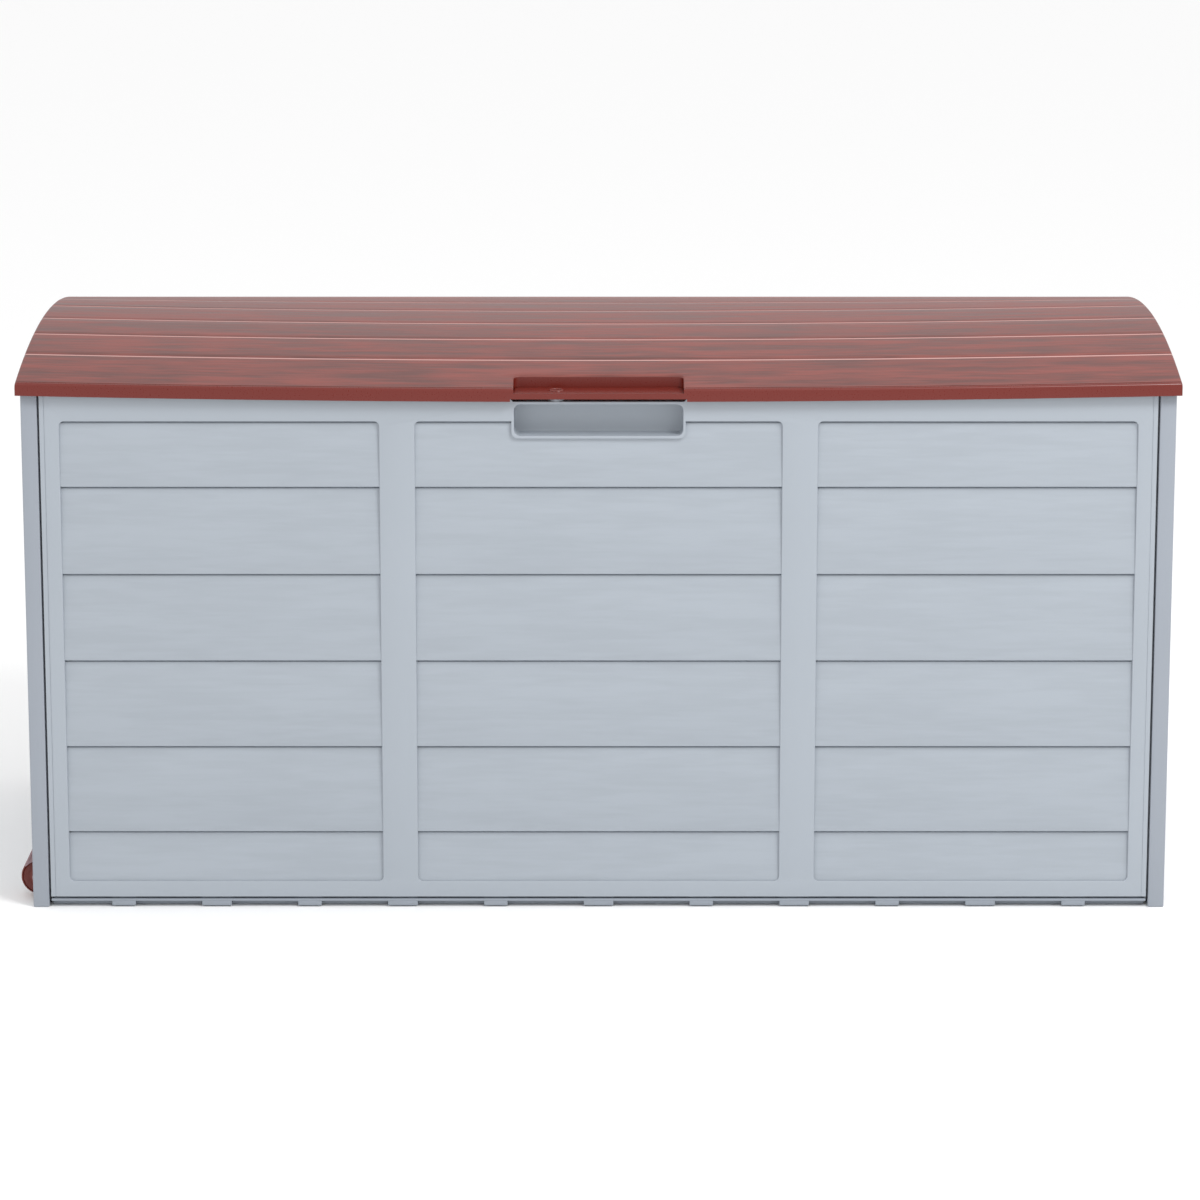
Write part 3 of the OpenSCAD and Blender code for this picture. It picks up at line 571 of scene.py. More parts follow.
def slatted_panel(name, s, width, low, high, bays):
    """A flat face with clapboard bays, each (x, width, lower edge)."""
    panel = block(name, (-width / 2, 0, low), (width / 2, s.wall, high))
    mids = [(b[2] + s.bay_high) / 2 for b in bays]
    add_all(panel, [pocket("walls", b[0], mid, b[1] + 2 * s.wall,
                           s.bay_high - b[2] + 2 * s.wall, s.bay_corner + s.wall,
                           0.5 * MM + CUT, s.bay_depth)
                    for b, mid in zip(bays, mids)])
    cut_all(panel, [pocket("space", b[0], mid, b[1], s.bay_high - b[2], s.bay_corner, 0,
                           s.board_in, s.bay_edge, board_profile(s, b[2], s.board_slot))
                    for b, mid in zip(bays, mids)])
    cut_all(panel, [pocket("inside", b[0], mid, b[1], s.bay_high - b[2], s.bay_corner,
                           s.bay_depth, s.board_in + s.wall, 0,
                           board_profile(s, b[2], s.board_slot, s.wall))
                    for b, mid in zip(bays, mids)])
    return panel


def grip_middle(s, top):
    """Height of a grip pocket's middle line in a panel of that top."""
    return top - s.shelf_drop - s.grip_wall - s.grip_height / 2


def grip_body(s, width, z):
    """Flush rim and walls of a grip pocket."""
    rim = pocket("rim", 0, z, width + 2 * s.grip_rim, s.grip_height + 2 * s.grip_rim,
                 s.recess_corner, CUT, s.wall + 0.1 * MM)
    walls = pocket("pocket", 0, z, width + 2 * s.grip_wall,
                   s.grip_height + 2 * s.grip_wall, s.recess_corner, 0.4 * MM + CUT,
                   s.grip_depth + s.grip_wall)
    combine(rim, walls, "UNION")
    return rim


def grip_space(s, width, z):
    """Space inside a grip pocket, with a rounded edge and floor."""
    space = pocket("grip", 0, z, width, s.grip_height, s.recess_corner, 0, s.grip_depth,
                   1.0 * MM)
    return round_edges(space, 2 * MM, 3, lambda edge: all(
        abs(v.co.y - s.grip_depth) < 1e-6 for v in edge.verts))


def long_panel(name, s, low, high, half):
    """A front or back panel with its side returns, hooks and flanges."""
    side_bay = half - s.mid_bay / 2 - s.stile - s.edge_stile
    side_x = s.mid_bay / 2 + s.stile + side_bay / 2
    panel = slatted_panel(name, s, 2 * half, low, high,
                          [(-side_x, side_bay, s.bay_low), (0, s.mid_bay, s.bay_low),
                           (side_x, side_bay, s.bay_low)])
    ret, wall = s.panel_return, s.wall
    hook = half + s.leg_gap + s.leg_width - wall - 1 * MM
    for side in (-1, 1):
        ends = sorted((side * (half - wall), side * half))
        add_all(panel, [block("side", (ends[0], 0.5 * MM, low), (ends[1], ret, high))])
        ends = sorted((side * (half - wall / 2), side * hook))
        add_all(panel, [block("hook", (ends[0], ret - wall, low + 5 * MM),
                              (ends[1], ret, high - 5 * MM))])
    add_all(panel, [block("foot", (-half, 0.5 * MM, low), (half, ret, low + wall)),
                    block("head", (-half, 0.5 * MM, high - wall),
                          (half, s.bay_depth, high))])
    # fine step beside the side returns
    cut_all(panel, [block("step", (side * (half - s.step_line) - 0.3 * MM, -CUT, low - CUT),
                          (side * (half - s.step_line) + 0.3 * MM, 0.4 * MM, high + CUT))
                    for side in (-1, 1)])
    return panel


def front_panel(s):
    """The front panel with its grip pocket, notch, shelf and padlock hole."""
    low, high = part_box("front_panel")
    half = body_box()[1].x - s.leg_width - s.leg_gap
    panel = long_panel("front_panel_shell", s, low.z, high.z, half)
    z = grip_middle(s, high.z)
    add_all(panel, [grip_body(s, s.grip_width, z)])
    shelf = high.z - s.shelf_drop
    notch, wall = s.notch_width / 2, s.grip_wall
    add_all(panel, [block("shelf", (-notch - wall, 1 * MM, shelf - wall),
                          (notch + wall, s.shelf_depth + wall, high.z - 0.01 * MM))])
    cut_all(panel, [grip_space(s, s.grip_width, z)])
    rise = high.z - shelf
    space = block("space", (-notch, s.wall, shelf), (notch, s.shelf_depth, high.z + CUT))
    round_edges(space, 2 * MM, 3, lambda edge: runs_along(edge, 2))
    # opening under the handle, with sloped ends, cut as one shape with the space
    inset, foot, head = 0.1 * MM, shelf + 0.05 * MM, high.z + 0.9 * CUT
    gap = prism("gap", [(-notch + rise, foot), (notch - rise, foot),
                        (notch - inset, head), (-notch + inset, head)],
                -CUT, s.wall + 5 * MM)
    combine(space, gap, "UNION")
    cut_all(panel, [space])
    lock_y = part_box("lid_shell")[0].y + s.lock_inset - low.y
    boss = rod("boss", (-s.lock_x, lock_y, shelf - wall / 2),
               (-s.lock_x, lock_y, shelf + 2.5 * MM), s.lock_radius + 3.5 * MM)
    round_edges(boss, 0.6 * MM, 2, lambda edge: not runs_along(edge, 2)
                and edge.verts[0].co.z > shelf)
    add_all(panel, [boss])
    cut_all(panel, [rod("hole", (-s.lock_x, lock_y, shelf - wall - CUT),
                        (-s.lock_x, lock_y, shelf + 5 * MM), s.lock_radius)])
    return move(panel, (0, low.y, 0))


def back_panel(s):
    """The back panel, turned to face the rear."""
    low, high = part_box("back_panel")
    half = body_box()[1].x - s.leg_width - s.leg_gap
    panel = long_panel("back_panel_shell", s, low.z, high.z, half)
    return move(panel, (0, high.y, 0), turn=math.pi)


def leg(s, outer, high):
    """Channel of one corner leg, on the +X side of an end panel."""
    wall = s.wall
    shape = block("leg", (outer - s.leg_depth, 0, 0), (outer, s.leg_width, high))
    round_edges(shape, s.leg_round, 3, lambda edge: True)
    inner = block("inside", (outer - s.leg_depth + wall, wall, wall),
                  (outer - wall, s.leg_width - wall, high + CUT))
    combine(shape, inner)
    mouth = block("mouth", (outer - s.leg_depth + wall, s.leg_width - wall - CUT, wall),
                  (outer - s.leg_lip, s.leg_width + CUT, high + CUT))
    combine(shape, mouth)
    return shape


def end_panel(name, s, high, depth):
    """An end panel with its two corner legs and a carrying grip."""
    half = depth / 2
    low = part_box("front_panel")[0].z
    bay = depth - 2 * (s.leg_depth + s.edge_stile)
    panel = slatted_panel(name, s, depth - 2 * s.leg_depth + 2 * MM, low, high,
                          [(0, bay, s.board_first)])
    z = grip_middle(s, high)
    add_all(panel, [grip_body(s, s.carry_width, z)])
    cut_all(panel, [grip_space(s, s.carry_width, z)])
    inside = half - s.leg_depth + 1 * MM
    add_all(panel, [block("foot", (-inside, 0.5 * MM, low),
                          (inside, s.panel_return, low + s.wall)),
                    block("head", (-inside, 0.5 * MM, high - s.wall),
                          (inside, s.bay_depth, high))])
    right = leg(s, half, high)
    left = move(duplicate(right, "leg_left"), mirror=0)
    add_all(panel, [right])
    add_all(panel, [left])
    return panel


def wheel_ways():
    """Openings in the left end panel for the two wheel brackets."""
    ways = []
    for name in ("wheel_bracket_front", "wheel_bracket_rear"):
        inner_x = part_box(name)[1].x
        wheel_low, wheel_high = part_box(name.replace("bracket_", ""))
        middle = (wheel_low.y + wheel_high.y) / 2
        clear, hood_top = 4 * MM, 33.9 * MM     # room round the bracket, over the hub
        reach = (wheel_high.y - wheel_low.y) / 2 + clear
        face = body_box()[0].x
        top = (wheel_low.z + wheel_high.z) / 2 + hood_top
        way = block("way", (face - CUT, middle - reach, -CUT),
                    (inner_x + clear, middle + reach, top))
        round_edges(way, 2 * MM, 3, lambda edge: runs_along(edge, 0)
                    and edge.verts[0].co.z > 0)
        ways.append(way)
    return ways


class STORAGEBOX_OT_long_panels(Operator):
    """Models the front and the back panel with their clapboard bays"""

    bl_idname = "storagebox.long_panels"
    bl_label = "Front and back panels"

    def execute(self, context):
        s, colours = context.scene.box_sizes, context.scene.box_colours
        for make, node in ((front_panel, "front_panel"), (back_panel, "back_panel")):
            panel = make(s)
            finished(panel, "box",
                     [grey_face(colours), grey_board(colours)], [node])
            outer = max(abs(v.co.y) for v in panel.data.vertices)
            paint(panel, 1, lambda centre, normal: s.bay_low < centre.z < s.bay_high
                  and s.board_out - 0.1 * MM < outer - abs(centre.y) < s.board_in
                  and abs(normal.y) > 0.9 and normal.y * centre.y > 0)
        return {"FINISHED"}


class STORAGEBOX_OT_end_panels(Operator):
    """Models the two end panels with the corner legs"""

    bl_idname = "storagebox.end_panels"
    bl_label = "End panels"

    def execute(self, context):
        s, colours = context.scene.box_sizes, context.scene.box_colours
        low, high = body_box()
        first = end_panel("left_end_panel_shell", s, high.z, high.y - low.y)
        second = duplicate(first, "right_end_panel_shell")
        move(first, (low.x, 0, 0), turn=-math.pi / 2)
        cut_all(first, wheel_ways())
        move(second, (high.x, 0, 0), turn=math.pi / 2)
        plastic = moulded_plastic("moulded_leg_polypropylene", colours.leg, 0.38)
        for panel, node in ((first, "left_end_panel"), (second, "right_end_panel")):
            finished(panel, "box", [plastic], [node])
        return {"FINISHED"}


# ---- Base -------------------------------------------------------------------------------


class STORAGEBOX_OT_base(Operator):
    """Models the floor plate with its lips, tabs and stiffening ribs"""

    bl_idname = "storagebox.base"
    bl_label = "Base"

    def execute(self, context):
        s, colours = context.scene.box_sizes, context.scene.box_colours
        low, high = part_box("base_panel")
        half = body_box()[1].x - s.leg_width - s.leg_gap
        face = high.y
        plate_low, plate_high = 5.8 * MM, 8.3 * MM
        base = block("base_shell", (-half, -face, plate_low), (half, face, plate_high))
        soften(base, 0.6 * MM, 2)
        inner = face - 23 * MM             # the ends stop short of the corner legs
        add_all(base, [block("ends", (low.x, -inner, plate_low + 0.01 * MM),
                             (high.x, inner, plate_high - 0.01 * MM))])
        tab_depth, tab_low = 10 * MM, 1.2 * MM
        rail = face - tab_depth
        # tabs along each long side: a middle one and five each way, wide and narrow
        wide, narrow, first, pitch = 29, 23, 100, 90.5
        places = [(0.0, wide * MM)]
        places += [(side * (first + pitch * i) * MM,
                    (narrow if i % 2 == 0 else wide) * MM)
                   for side in (-1, 1) for i in range(5)]
        rib_pitch = 93.6
        rails = [block("rail", (-half + 1 * MM, side * rail - s.wall / 2, 0.6 * MM),
                       (half - 1 * MM, side * rail + s.wall / 2, plate_low + 1 * MM))
                 for side in (-1, 1)]
        rails += [block("rib", (-half + 1 * MM, y * MM - s.wall / 2, 0),
                        (half - 1 * MM, y * MM + s.wall / 2, plate_low + 1 * MM))
                  for y in [rib_pitch * step for step in (-1.5, -0.5, 0.5, 1.5)]]
        add_all(base, rails)
        add_all(base, [block("cross", (x - s.wall / 2, -rail, 0.02 * MM),
                             (x + s.wall / 2, rail, plate_low + 1 * MM))
                       for x, _ in places])
        tabs = []
        for side in (-1, 1):
            for x, width in places:
                ends = sorted((side * rail, side * (face - 0.2 * MM)))
                tab = block("tab", (x - width / 2, ends[0], tab_low),
                            (x + width / 2, ends[1], plate_low + 0.8 * MM))
                tabs.append(round_edges(tab, 0.8 * MM, 2, lambda edge: True))
        add_all(base, tabs)
        pads = []
        for side in (-1, 1):
            for x, width in places:
                ends = sorted((side * (face - 13 * MM), side * (face - 5 * MM)))
                pads.append(block("pad", (x - width / 2, ends[0], plate_high - 0.5 * MM),
                                  (x + width / 2, ends[1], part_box("front_panel")[0].z)))
        add_all(base, pads)
        foot = rod("foot", (0, 0, 0), (0, 0, plate_low + 0.5 * MM), 24 * MM, 8)
        add_all(base, [soften(foot, 1 * MM)])
        half_way = 17 * MM                 # room for a wheel bracket
        ways = [block("way", (low.x - CUT, y - half_way, -CUT),
                      (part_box("wheel_bracket_front")[1].x + 2 * MM, y + half_way,
                       plate_high + CUT))
                for y in [sum(c.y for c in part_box(n)) / 2
                          for n in ("wheel_front", "wheel_rear")]]
        cut_all(base, ways)
        finished(base, "box",
                 [moulded_plastic("moulded_base_polypropylene", colours.base, 0.45)],
                 ["base_panel"])
        return {"FINISHED"}


# ---- Lid --------------------------------------------------------------------------------


class Barrel:
    """Shape of the lid's top, worked out from the lid's box and the sizes."""

    def __init__(self, s):
        self.s = s
        self.low, self.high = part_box("lid_shell")
        self.half_w, self.half_d = self.high.x, self.high.y
        self.rim_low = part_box("front_panel")[1].z - 1 * MM
        self.rim_top = self.rim_low + s.rim_height
        crown = self.high.z - self.rim_top
        self.radius = (self.half_d ** 2 + crown ** 2) / (2 * crown)
        self.centre = self.high.z - self.radius
        self.channel_near, self.channel_far = 3.1 * MM, 4.3 * MM
        self.channel_depth = 1.1 * MM
        self.lip_back = 3.6 * MM
        first = s.mid_plank_extra / 2 + s.plank / 2
        self.grooves = [side * (first + i * s.plank) for side in (-1, 1) for i in range(3)]

    def sag(self, x, y):
        """How far the lid hangs lower there: most at the middle of its front half."""
        fade = max(0.0, 1 - (max(0.0, y + 10 * MM) / (200 * MM)) ** 2)
        return self.s.rim_bow * (1 - (x / self.half_w) ** 2) * fade

    def skin(self, x, y):
        """Height of the barrel's outer face, without its grooves."""
        return self.centre + math.sqrt(self.radius ** 2 - y * y) - self.sag(x, y)

    def outer(self, x, y):
        """Height of the barrel with plank grooves, rim channel and rounded edges."""
        s, z = self.s, self.skin(x, y)
        for groove in self.grooves:
            away = abs(y - groove)
            if away < s.groove_half:
                z -= s.groove_depth * (1 + math.cos(math.pi * away / s.groove_half)) / 2
        from_front = self.half_d - abs(y)
        if self.channel_near < from_front < self.channel_far:
            z -= self.channel_depth
        for edge in (from_front, self.half_w - abs(x)):
            if edge < s.rim_round:
                rise = s.rim_round - edge
                z -= s.rim_round - math.sqrt(s.rim_round ** 2 - rise ** 2)
        return z

    def rim_bottom(self, x, y):
        """Height of the rim's lower edge, which hangs lower along the front."""
        if y > -self.half_d + self.lip_back:
            return self.rim_low
        return self.rim_low - self.s.rim_bow * (1 - (x / self.half_w) ** 2)

    def columns(self):
        """Places along the lid, close together at its ends and round the recess."""
        edge = self.s.rim_round
        ends = [self.half_w - edge * share for share in (0.05, 0.2, 0.45, 0.75, 1)]
        marks = [side * x for side in (-1, 1) for x in ends + [70 * MM, 95 * MM]]
        return spaced(-self.half_w, self.half_w, 26 * MM, marks)

    def rows(self):
        """Places across the lid, close together at its edges and in each groove."""
        edge, half = self.s.rim_round, self.s.groove_half
        marks = [self.half_d - edge * share for share in (0.05, 0.2, 0.45, 0.75, 1)]
        marks += [self.half_d - away
                  for away in (self.channel_near - 0.05 * MM, self.channel_near + 0.1 * MM,
                               self.channel_far - 0.1 * MM, self.channel_far + 0.1 * MM)]
        marks = [side * y for side in (-1, 1) for y in marks]
        marks += [g + half * share for g in self.grooves
                  for share in (-1, -0.66, -0.33, 0, 0.33, 0.66, 1)]
        return spaced(-self.half_d, self.half_d, 11 * MM, marks)


def sheet_block(name, columns, rows, top, bottom):
    """A closed block over a grid of columns and rows, between two height functions."""
    bpy.ops.object.select_all(action="DESELECT")
    bpy.ops.mesh.primitive_grid_add(x_subdivisions=len(columns) - 1,
                                    y_subdivisions=len(rows) - 1, size=2)
    obj = placed(name)
    edit(obj, "FACE", lambda face: True)
    bpy.ops.mesh.extrude_region_move(TRANSFORM_OT_translate={"value": (0, 0, 1)})
    bpy.ops.object.mode_set(mode="OBJECT")
    for vertex in obj.data.vertices:
        x = columns[round((vertex.co.x + 1) / 2 * (len(columns) - 1))]
        y = rows[round((vertex.co.y + 1) / 2 * (len(rows) - 1))]
        vertex.co = (x, y, top(x, y) if vertex.co.z > 0.5 else bottom(x, y))
    edit(obj, "FACE", lambda face: True)
    return close(obj)


def recess_space(s, barrel):
    """Space of the handle recess, open to the top and the front, with rounded edges."""
    front, floor = -barrel.half_d, barrel.rim_low + 2 * MM
    back = front + s.recess_depth
    half = s.recess_width / 2
    space = block("recess", (-half, front - 4 * MM, floor), (half, back, floor + 40 * MM))
    round_edges(space, s.recess_corner, 6, lambda edge: runs_along(edge, 2)
                and edge.verts[0].co.y > front)
    slice_at(space, 1, spaced(front, back - s.recess_corner, 5 * MM))
    slice_at(space, 0, spaced(-half + s.recess_corner, half - s.recess_corner, 20 * MM))
    # levels of the block that become the rounded edge, as shares of its depth
    layers = (0.0, 0.15, 0.4, 0.7, 1.0)
    slice_at(space, 2, [floor + (10 + 2 * i) * MM for i in range(len(layers))])
    round_top = 1.8 * MM
    inner_x, inner_y = half - s.recess_corner, back - s.recess_corner
    for vertex in space.data.vertices:
        co = vertex.co
        level = round((co.z - floor) / MM / 2) - 5
        if not 0 <= level < len(layers):
            continue
        depth = round_top * (1 - layers[level])
        rise = round_top - depth
        grow = round_top - math.sqrt(max(round_top ** 2 - rise ** 2, 0))
        inner = Vector((min(max(co.x, -inner_x), inner_x), min(co.y, inner_y), co.z))
        way = co - inner
        if way.length > 1e-7:
            co.xy = (co + way.normalized() * grow).xy
        vertex.co = (co.x, co.y, barrel.skin(co.x, max(co.y, front)) - depth)
    return space


PLANK, GLOSS, GROOVE_HIGHLIGHT = range(3)      # places of the lid's materials


class STORAGEBOX_OT_lid(Operator):
    """Models the barrel lid: planks, rim, handle recess and inner ribs"""

    bl_idname = "storagebox.lid"
    bl_label = "Lid"

    def execute(self, context):
        s, colours = context.scene.box_sizes, context.scene.box_colours
        barrel = Barrel(s)
        lid = sheet_block("lid_barrel", barrel.columns(), barrel.rows(), barrel.outer,
                          barrel.rim_bottom)
        inner_w, inner_d = barrel.half_w - s.wall, barrel.half_d - s.wall
        cavity = sheet_block("cavity", spaced(-inner_w, inner_w, 50 * MM),
                             spaced(-inner_d, inner_d, 18 * MM),
                             lambda x, y: barrel.skin(x, y) - s.wall,
                             lambda x, y: barrel.rim_low - 20 * MM)
        combine(lid, cavity)
        floor = barrel.rim_low + 2 * MM
        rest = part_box("front_panel")[1].z + 0.5 * MM

        def rib_bottom(x, y):
            if abs(y) > inner_d - 20 * MM:
                return rest
            return max(rest, barrel.skin(x, y) - s.wall - 6 * MM)

        ribs, rib_first, rib_pitch, rib_half = [], 95, 105, 1.25 * MM
        for x in [side * (rib_first + rib_pitch * i) * MM
                  for side in (-1, 1) for i in range(5)]:
            ribs.append(sheet_block("rib", [x - rib_half, x + rib_half],
                                    spaced(-inner_d - 1 * MM, inner_d + 1 * MM, 25 * MM,
                                           [-inner_d + 20 * MM, -inner_d + 20.5 * MM,
                                            inner_d - 20.5 * MM, inner_d - 20 * MM]),
                                    lambda x, y: barrel.skin(x, y) - s.wall + 0.8 * MM,
                                    rib_bottom))
        add_all(lid, ribs)
        half, front = s.recess_width / 2, -barrel.half_d
        back = front + s.recess_depth
        body = sheet_block("walls", spaced(-half - s.grip_wall, half + s.grip_wall, 20 * MM),
                           spaced(front + 1 * MM, back + s.grip_wall, 6 * MM),
                           lambda x, y: barrel.skin(x, y) - 1.6 * MM,
                           lambda x, y: floor - s.grip_wall)
        round_edges(body, s.recess_corner, 5, lambda edge: runs_along(edge, 2)
                    and edge.verts[0].co.y > back and abs(edge.verts[0].co.x) > half)
        add_all(lid, [body])
        lip_half = half + 3 * MM
        cut_all(lid, [block("under", (-lip_half, front - CUT, barrel.rim_low - 10 * MM),
                            (lip_half, front + s.wall + 0.5 * MM, floor - s.lip_height))])
        cut_all(lid, [recess_space(s, barrel)])
        # fine crease round the recess, at the foot of its walls
        width, deep, start = 0.9 * MM, 0.9 * MM, front + 6 * MM
        crease = block("crease", (-half, start, floor - deep),
                       (half, back, floor + 0.3 * MM))
        inner = block("inner", (-half + width, start - CUT, floor - CUT),
                      (half - width, back - width, floor + CUT))
        for shape in (crease, inner):
            round_edges(shape, s.recess_corner - 0.5 * MM, 6, lambda edge: runs_along(edge, 2)
                        and edge.verts[0].co.y > front + 20 * MM)
        combine(crease, inner)
        cut_all(lid, [crease])
        lock = Vector((-s.lock_x, front + s.lock_inset, 0))
        bpy.ops.object.select_all(action="DESELECT")
        bpy.ops.mesh.primitive_torus_add(location=lock + Vector((0, 0, floor)),
                                         major_radius=s.lock_radius + 1.6 * MM,
                                         minor_radius=1.3 * MM, major_segments=48,
                                         minor_segments=16)
        add_all(lid, [placed("ring")])
        cut_all(lid, [rod("hole", lock + Vector((0, 0, floor - 10 * MM)),
                          lock + Vector((0, 0, floor + 10 * MM)), s.lock_radius)])
        finished(lid, "lid",
                 [red_plank(colours), red_gloss(colours), red_groove_highlight(colours)],
                 ["lid_shell"])

        def smooth_face(centre, normal):
            deep = barrel.skin(centre.x, centre.y) - centre.z
            # the rim's band reaches over the channel behind the rim's top, so the channel
            # takes the rim's deep red: partly the rim's own glossy plastic, partly painted
            # shade that darkens the channel into a line
            rim = barrel.half_d - abs(centre.y) < barrel.channel_far + 0.1 * MM
            return deep > 1.4 * MM or rim

        paint(lid, GLOSS, smooth_face)
        # painted highlight: the groove faces get the pale red that stands in for the light on
        # the grooves' far walls
        paint(lid, GROOVE_HIGHLIGHT, lambda centre, normal: normal.z > 0.3 and centre.z > barrel.rim_top
              and min(abs(centre.y - g) for g in barrel.grooves) < s.groove_half
              and barrel.skin(centre.x, centre.y) - centre.z < 1.6 * MM)
        return {"FINISHED"}


# ---- Hinges, wheels and fixings ---------------------------------------------------------

PIN_BORE = 2.55 * MM          # radius of the hinge leaves' bores
AXLE_BORE = 3.05 * MM         # radius of the wheels' and brackets' bores
KNUCKLE = 5 * MM              # outer radius of a hinge knuckle


class STORAGEBOX_OT_hinges(Operator):
    """Models the leaves of the three hinges"""

    bl_idname = "storagebox.hinges"
    bl_label = "Hinges"

    def execute(self, context):
        colours = context.scene.box_colours
        plastic = moulded_plastic("moulded_hinge_nylon", colours.hinge, 0.4)
        red = moulded_plastic("moulded_hinge_polypropylene", colours.lid, 0.35)
        for side in ("left", "middle", "right"):
            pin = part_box("hinge_pin_" + side)
            axis = (pin[0] + pin[1]) / 2
            self.body_leaf(side, axis, plastic)
            self.lid_leaf(side, axis, red)
        return {"FINISHED"}

    def body_leaf(self, side, axis, plastic):
        node = "hinge_body_leaf_" + side
        low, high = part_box(node)
        face = low.y
        middle = (low.x + high.x) / 2
        leaf = block(node + "_shell", (low.x, face, low.z), (high.x, face + 3 * MM, high.z))
        round_edges(leaf, 3 * MM, 3, lambda edge: runs_along(edge, 1))
        arm_near, arm_far = 13 * MM, 29 * MM
        for way in (-1, 1):
            ends = sorted((middle + way * arm_near, middle + way * arm_far))
            arm = block("arm", (ends[0], face + 2 * MM, axis.z - KNUCKLE + 0.05 * MM),
                        (ends[1], axis.y, high.z - 0.01 * MM))
            add_all(leaf, [arm])
            add_all(leaf, [rod("knuckle", (ends[0], axis.y, axis.z),
                               (ends[1], axis.y, axis.z), KNUCKLE)])
        cut_all(leaf, [rod("bore", (low.x - CUT, axis.y, axis.z),
                           (high.x + CUT, axis.y, axis.z), PIN_BORE)])
        finished(soften(leaf, 0.35 * MM), "box", [plastic], [node])

    def lid_leaf(self, side, axis, plastic):
        node = "hinge_lid_leaf_" + side
        low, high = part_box(node)
        face, arm_half = low.y, 12 * MM
        middle = (low.x + high.x) / 2
        foot = axis.z + KNUCKLE + 0.6 * MM
        leaf = block(node + "_shell", (low.x, face, foot), (high.x, face + 2.5 * MM, high.z))
        round_edges(leaf, 2 * MM, 3, lambda edge: runs_along(edge, 1))
        add_all(leaf, [block("arm", (middle - arm_half, face + 0.05 * MM, axis.z),
                             (middle + arm_half, axis.y, foot + 1 * MM))])
        add_all(leaf, [rod("knuckle", (middle - arm_half, axis.y, axis.z),
                           (middle + arm_half, axis.y, axis.z), KNUCKLE)])
        cut_all(leaf, [rod("bore", (low.x - CUT, axis.y, axis.z),
                           (high.x + CUT, axis.y, axis.z), PIN_BORE)])
        finished(soften(leaf, 0.35 * MM), "lid", [plastic], [node])


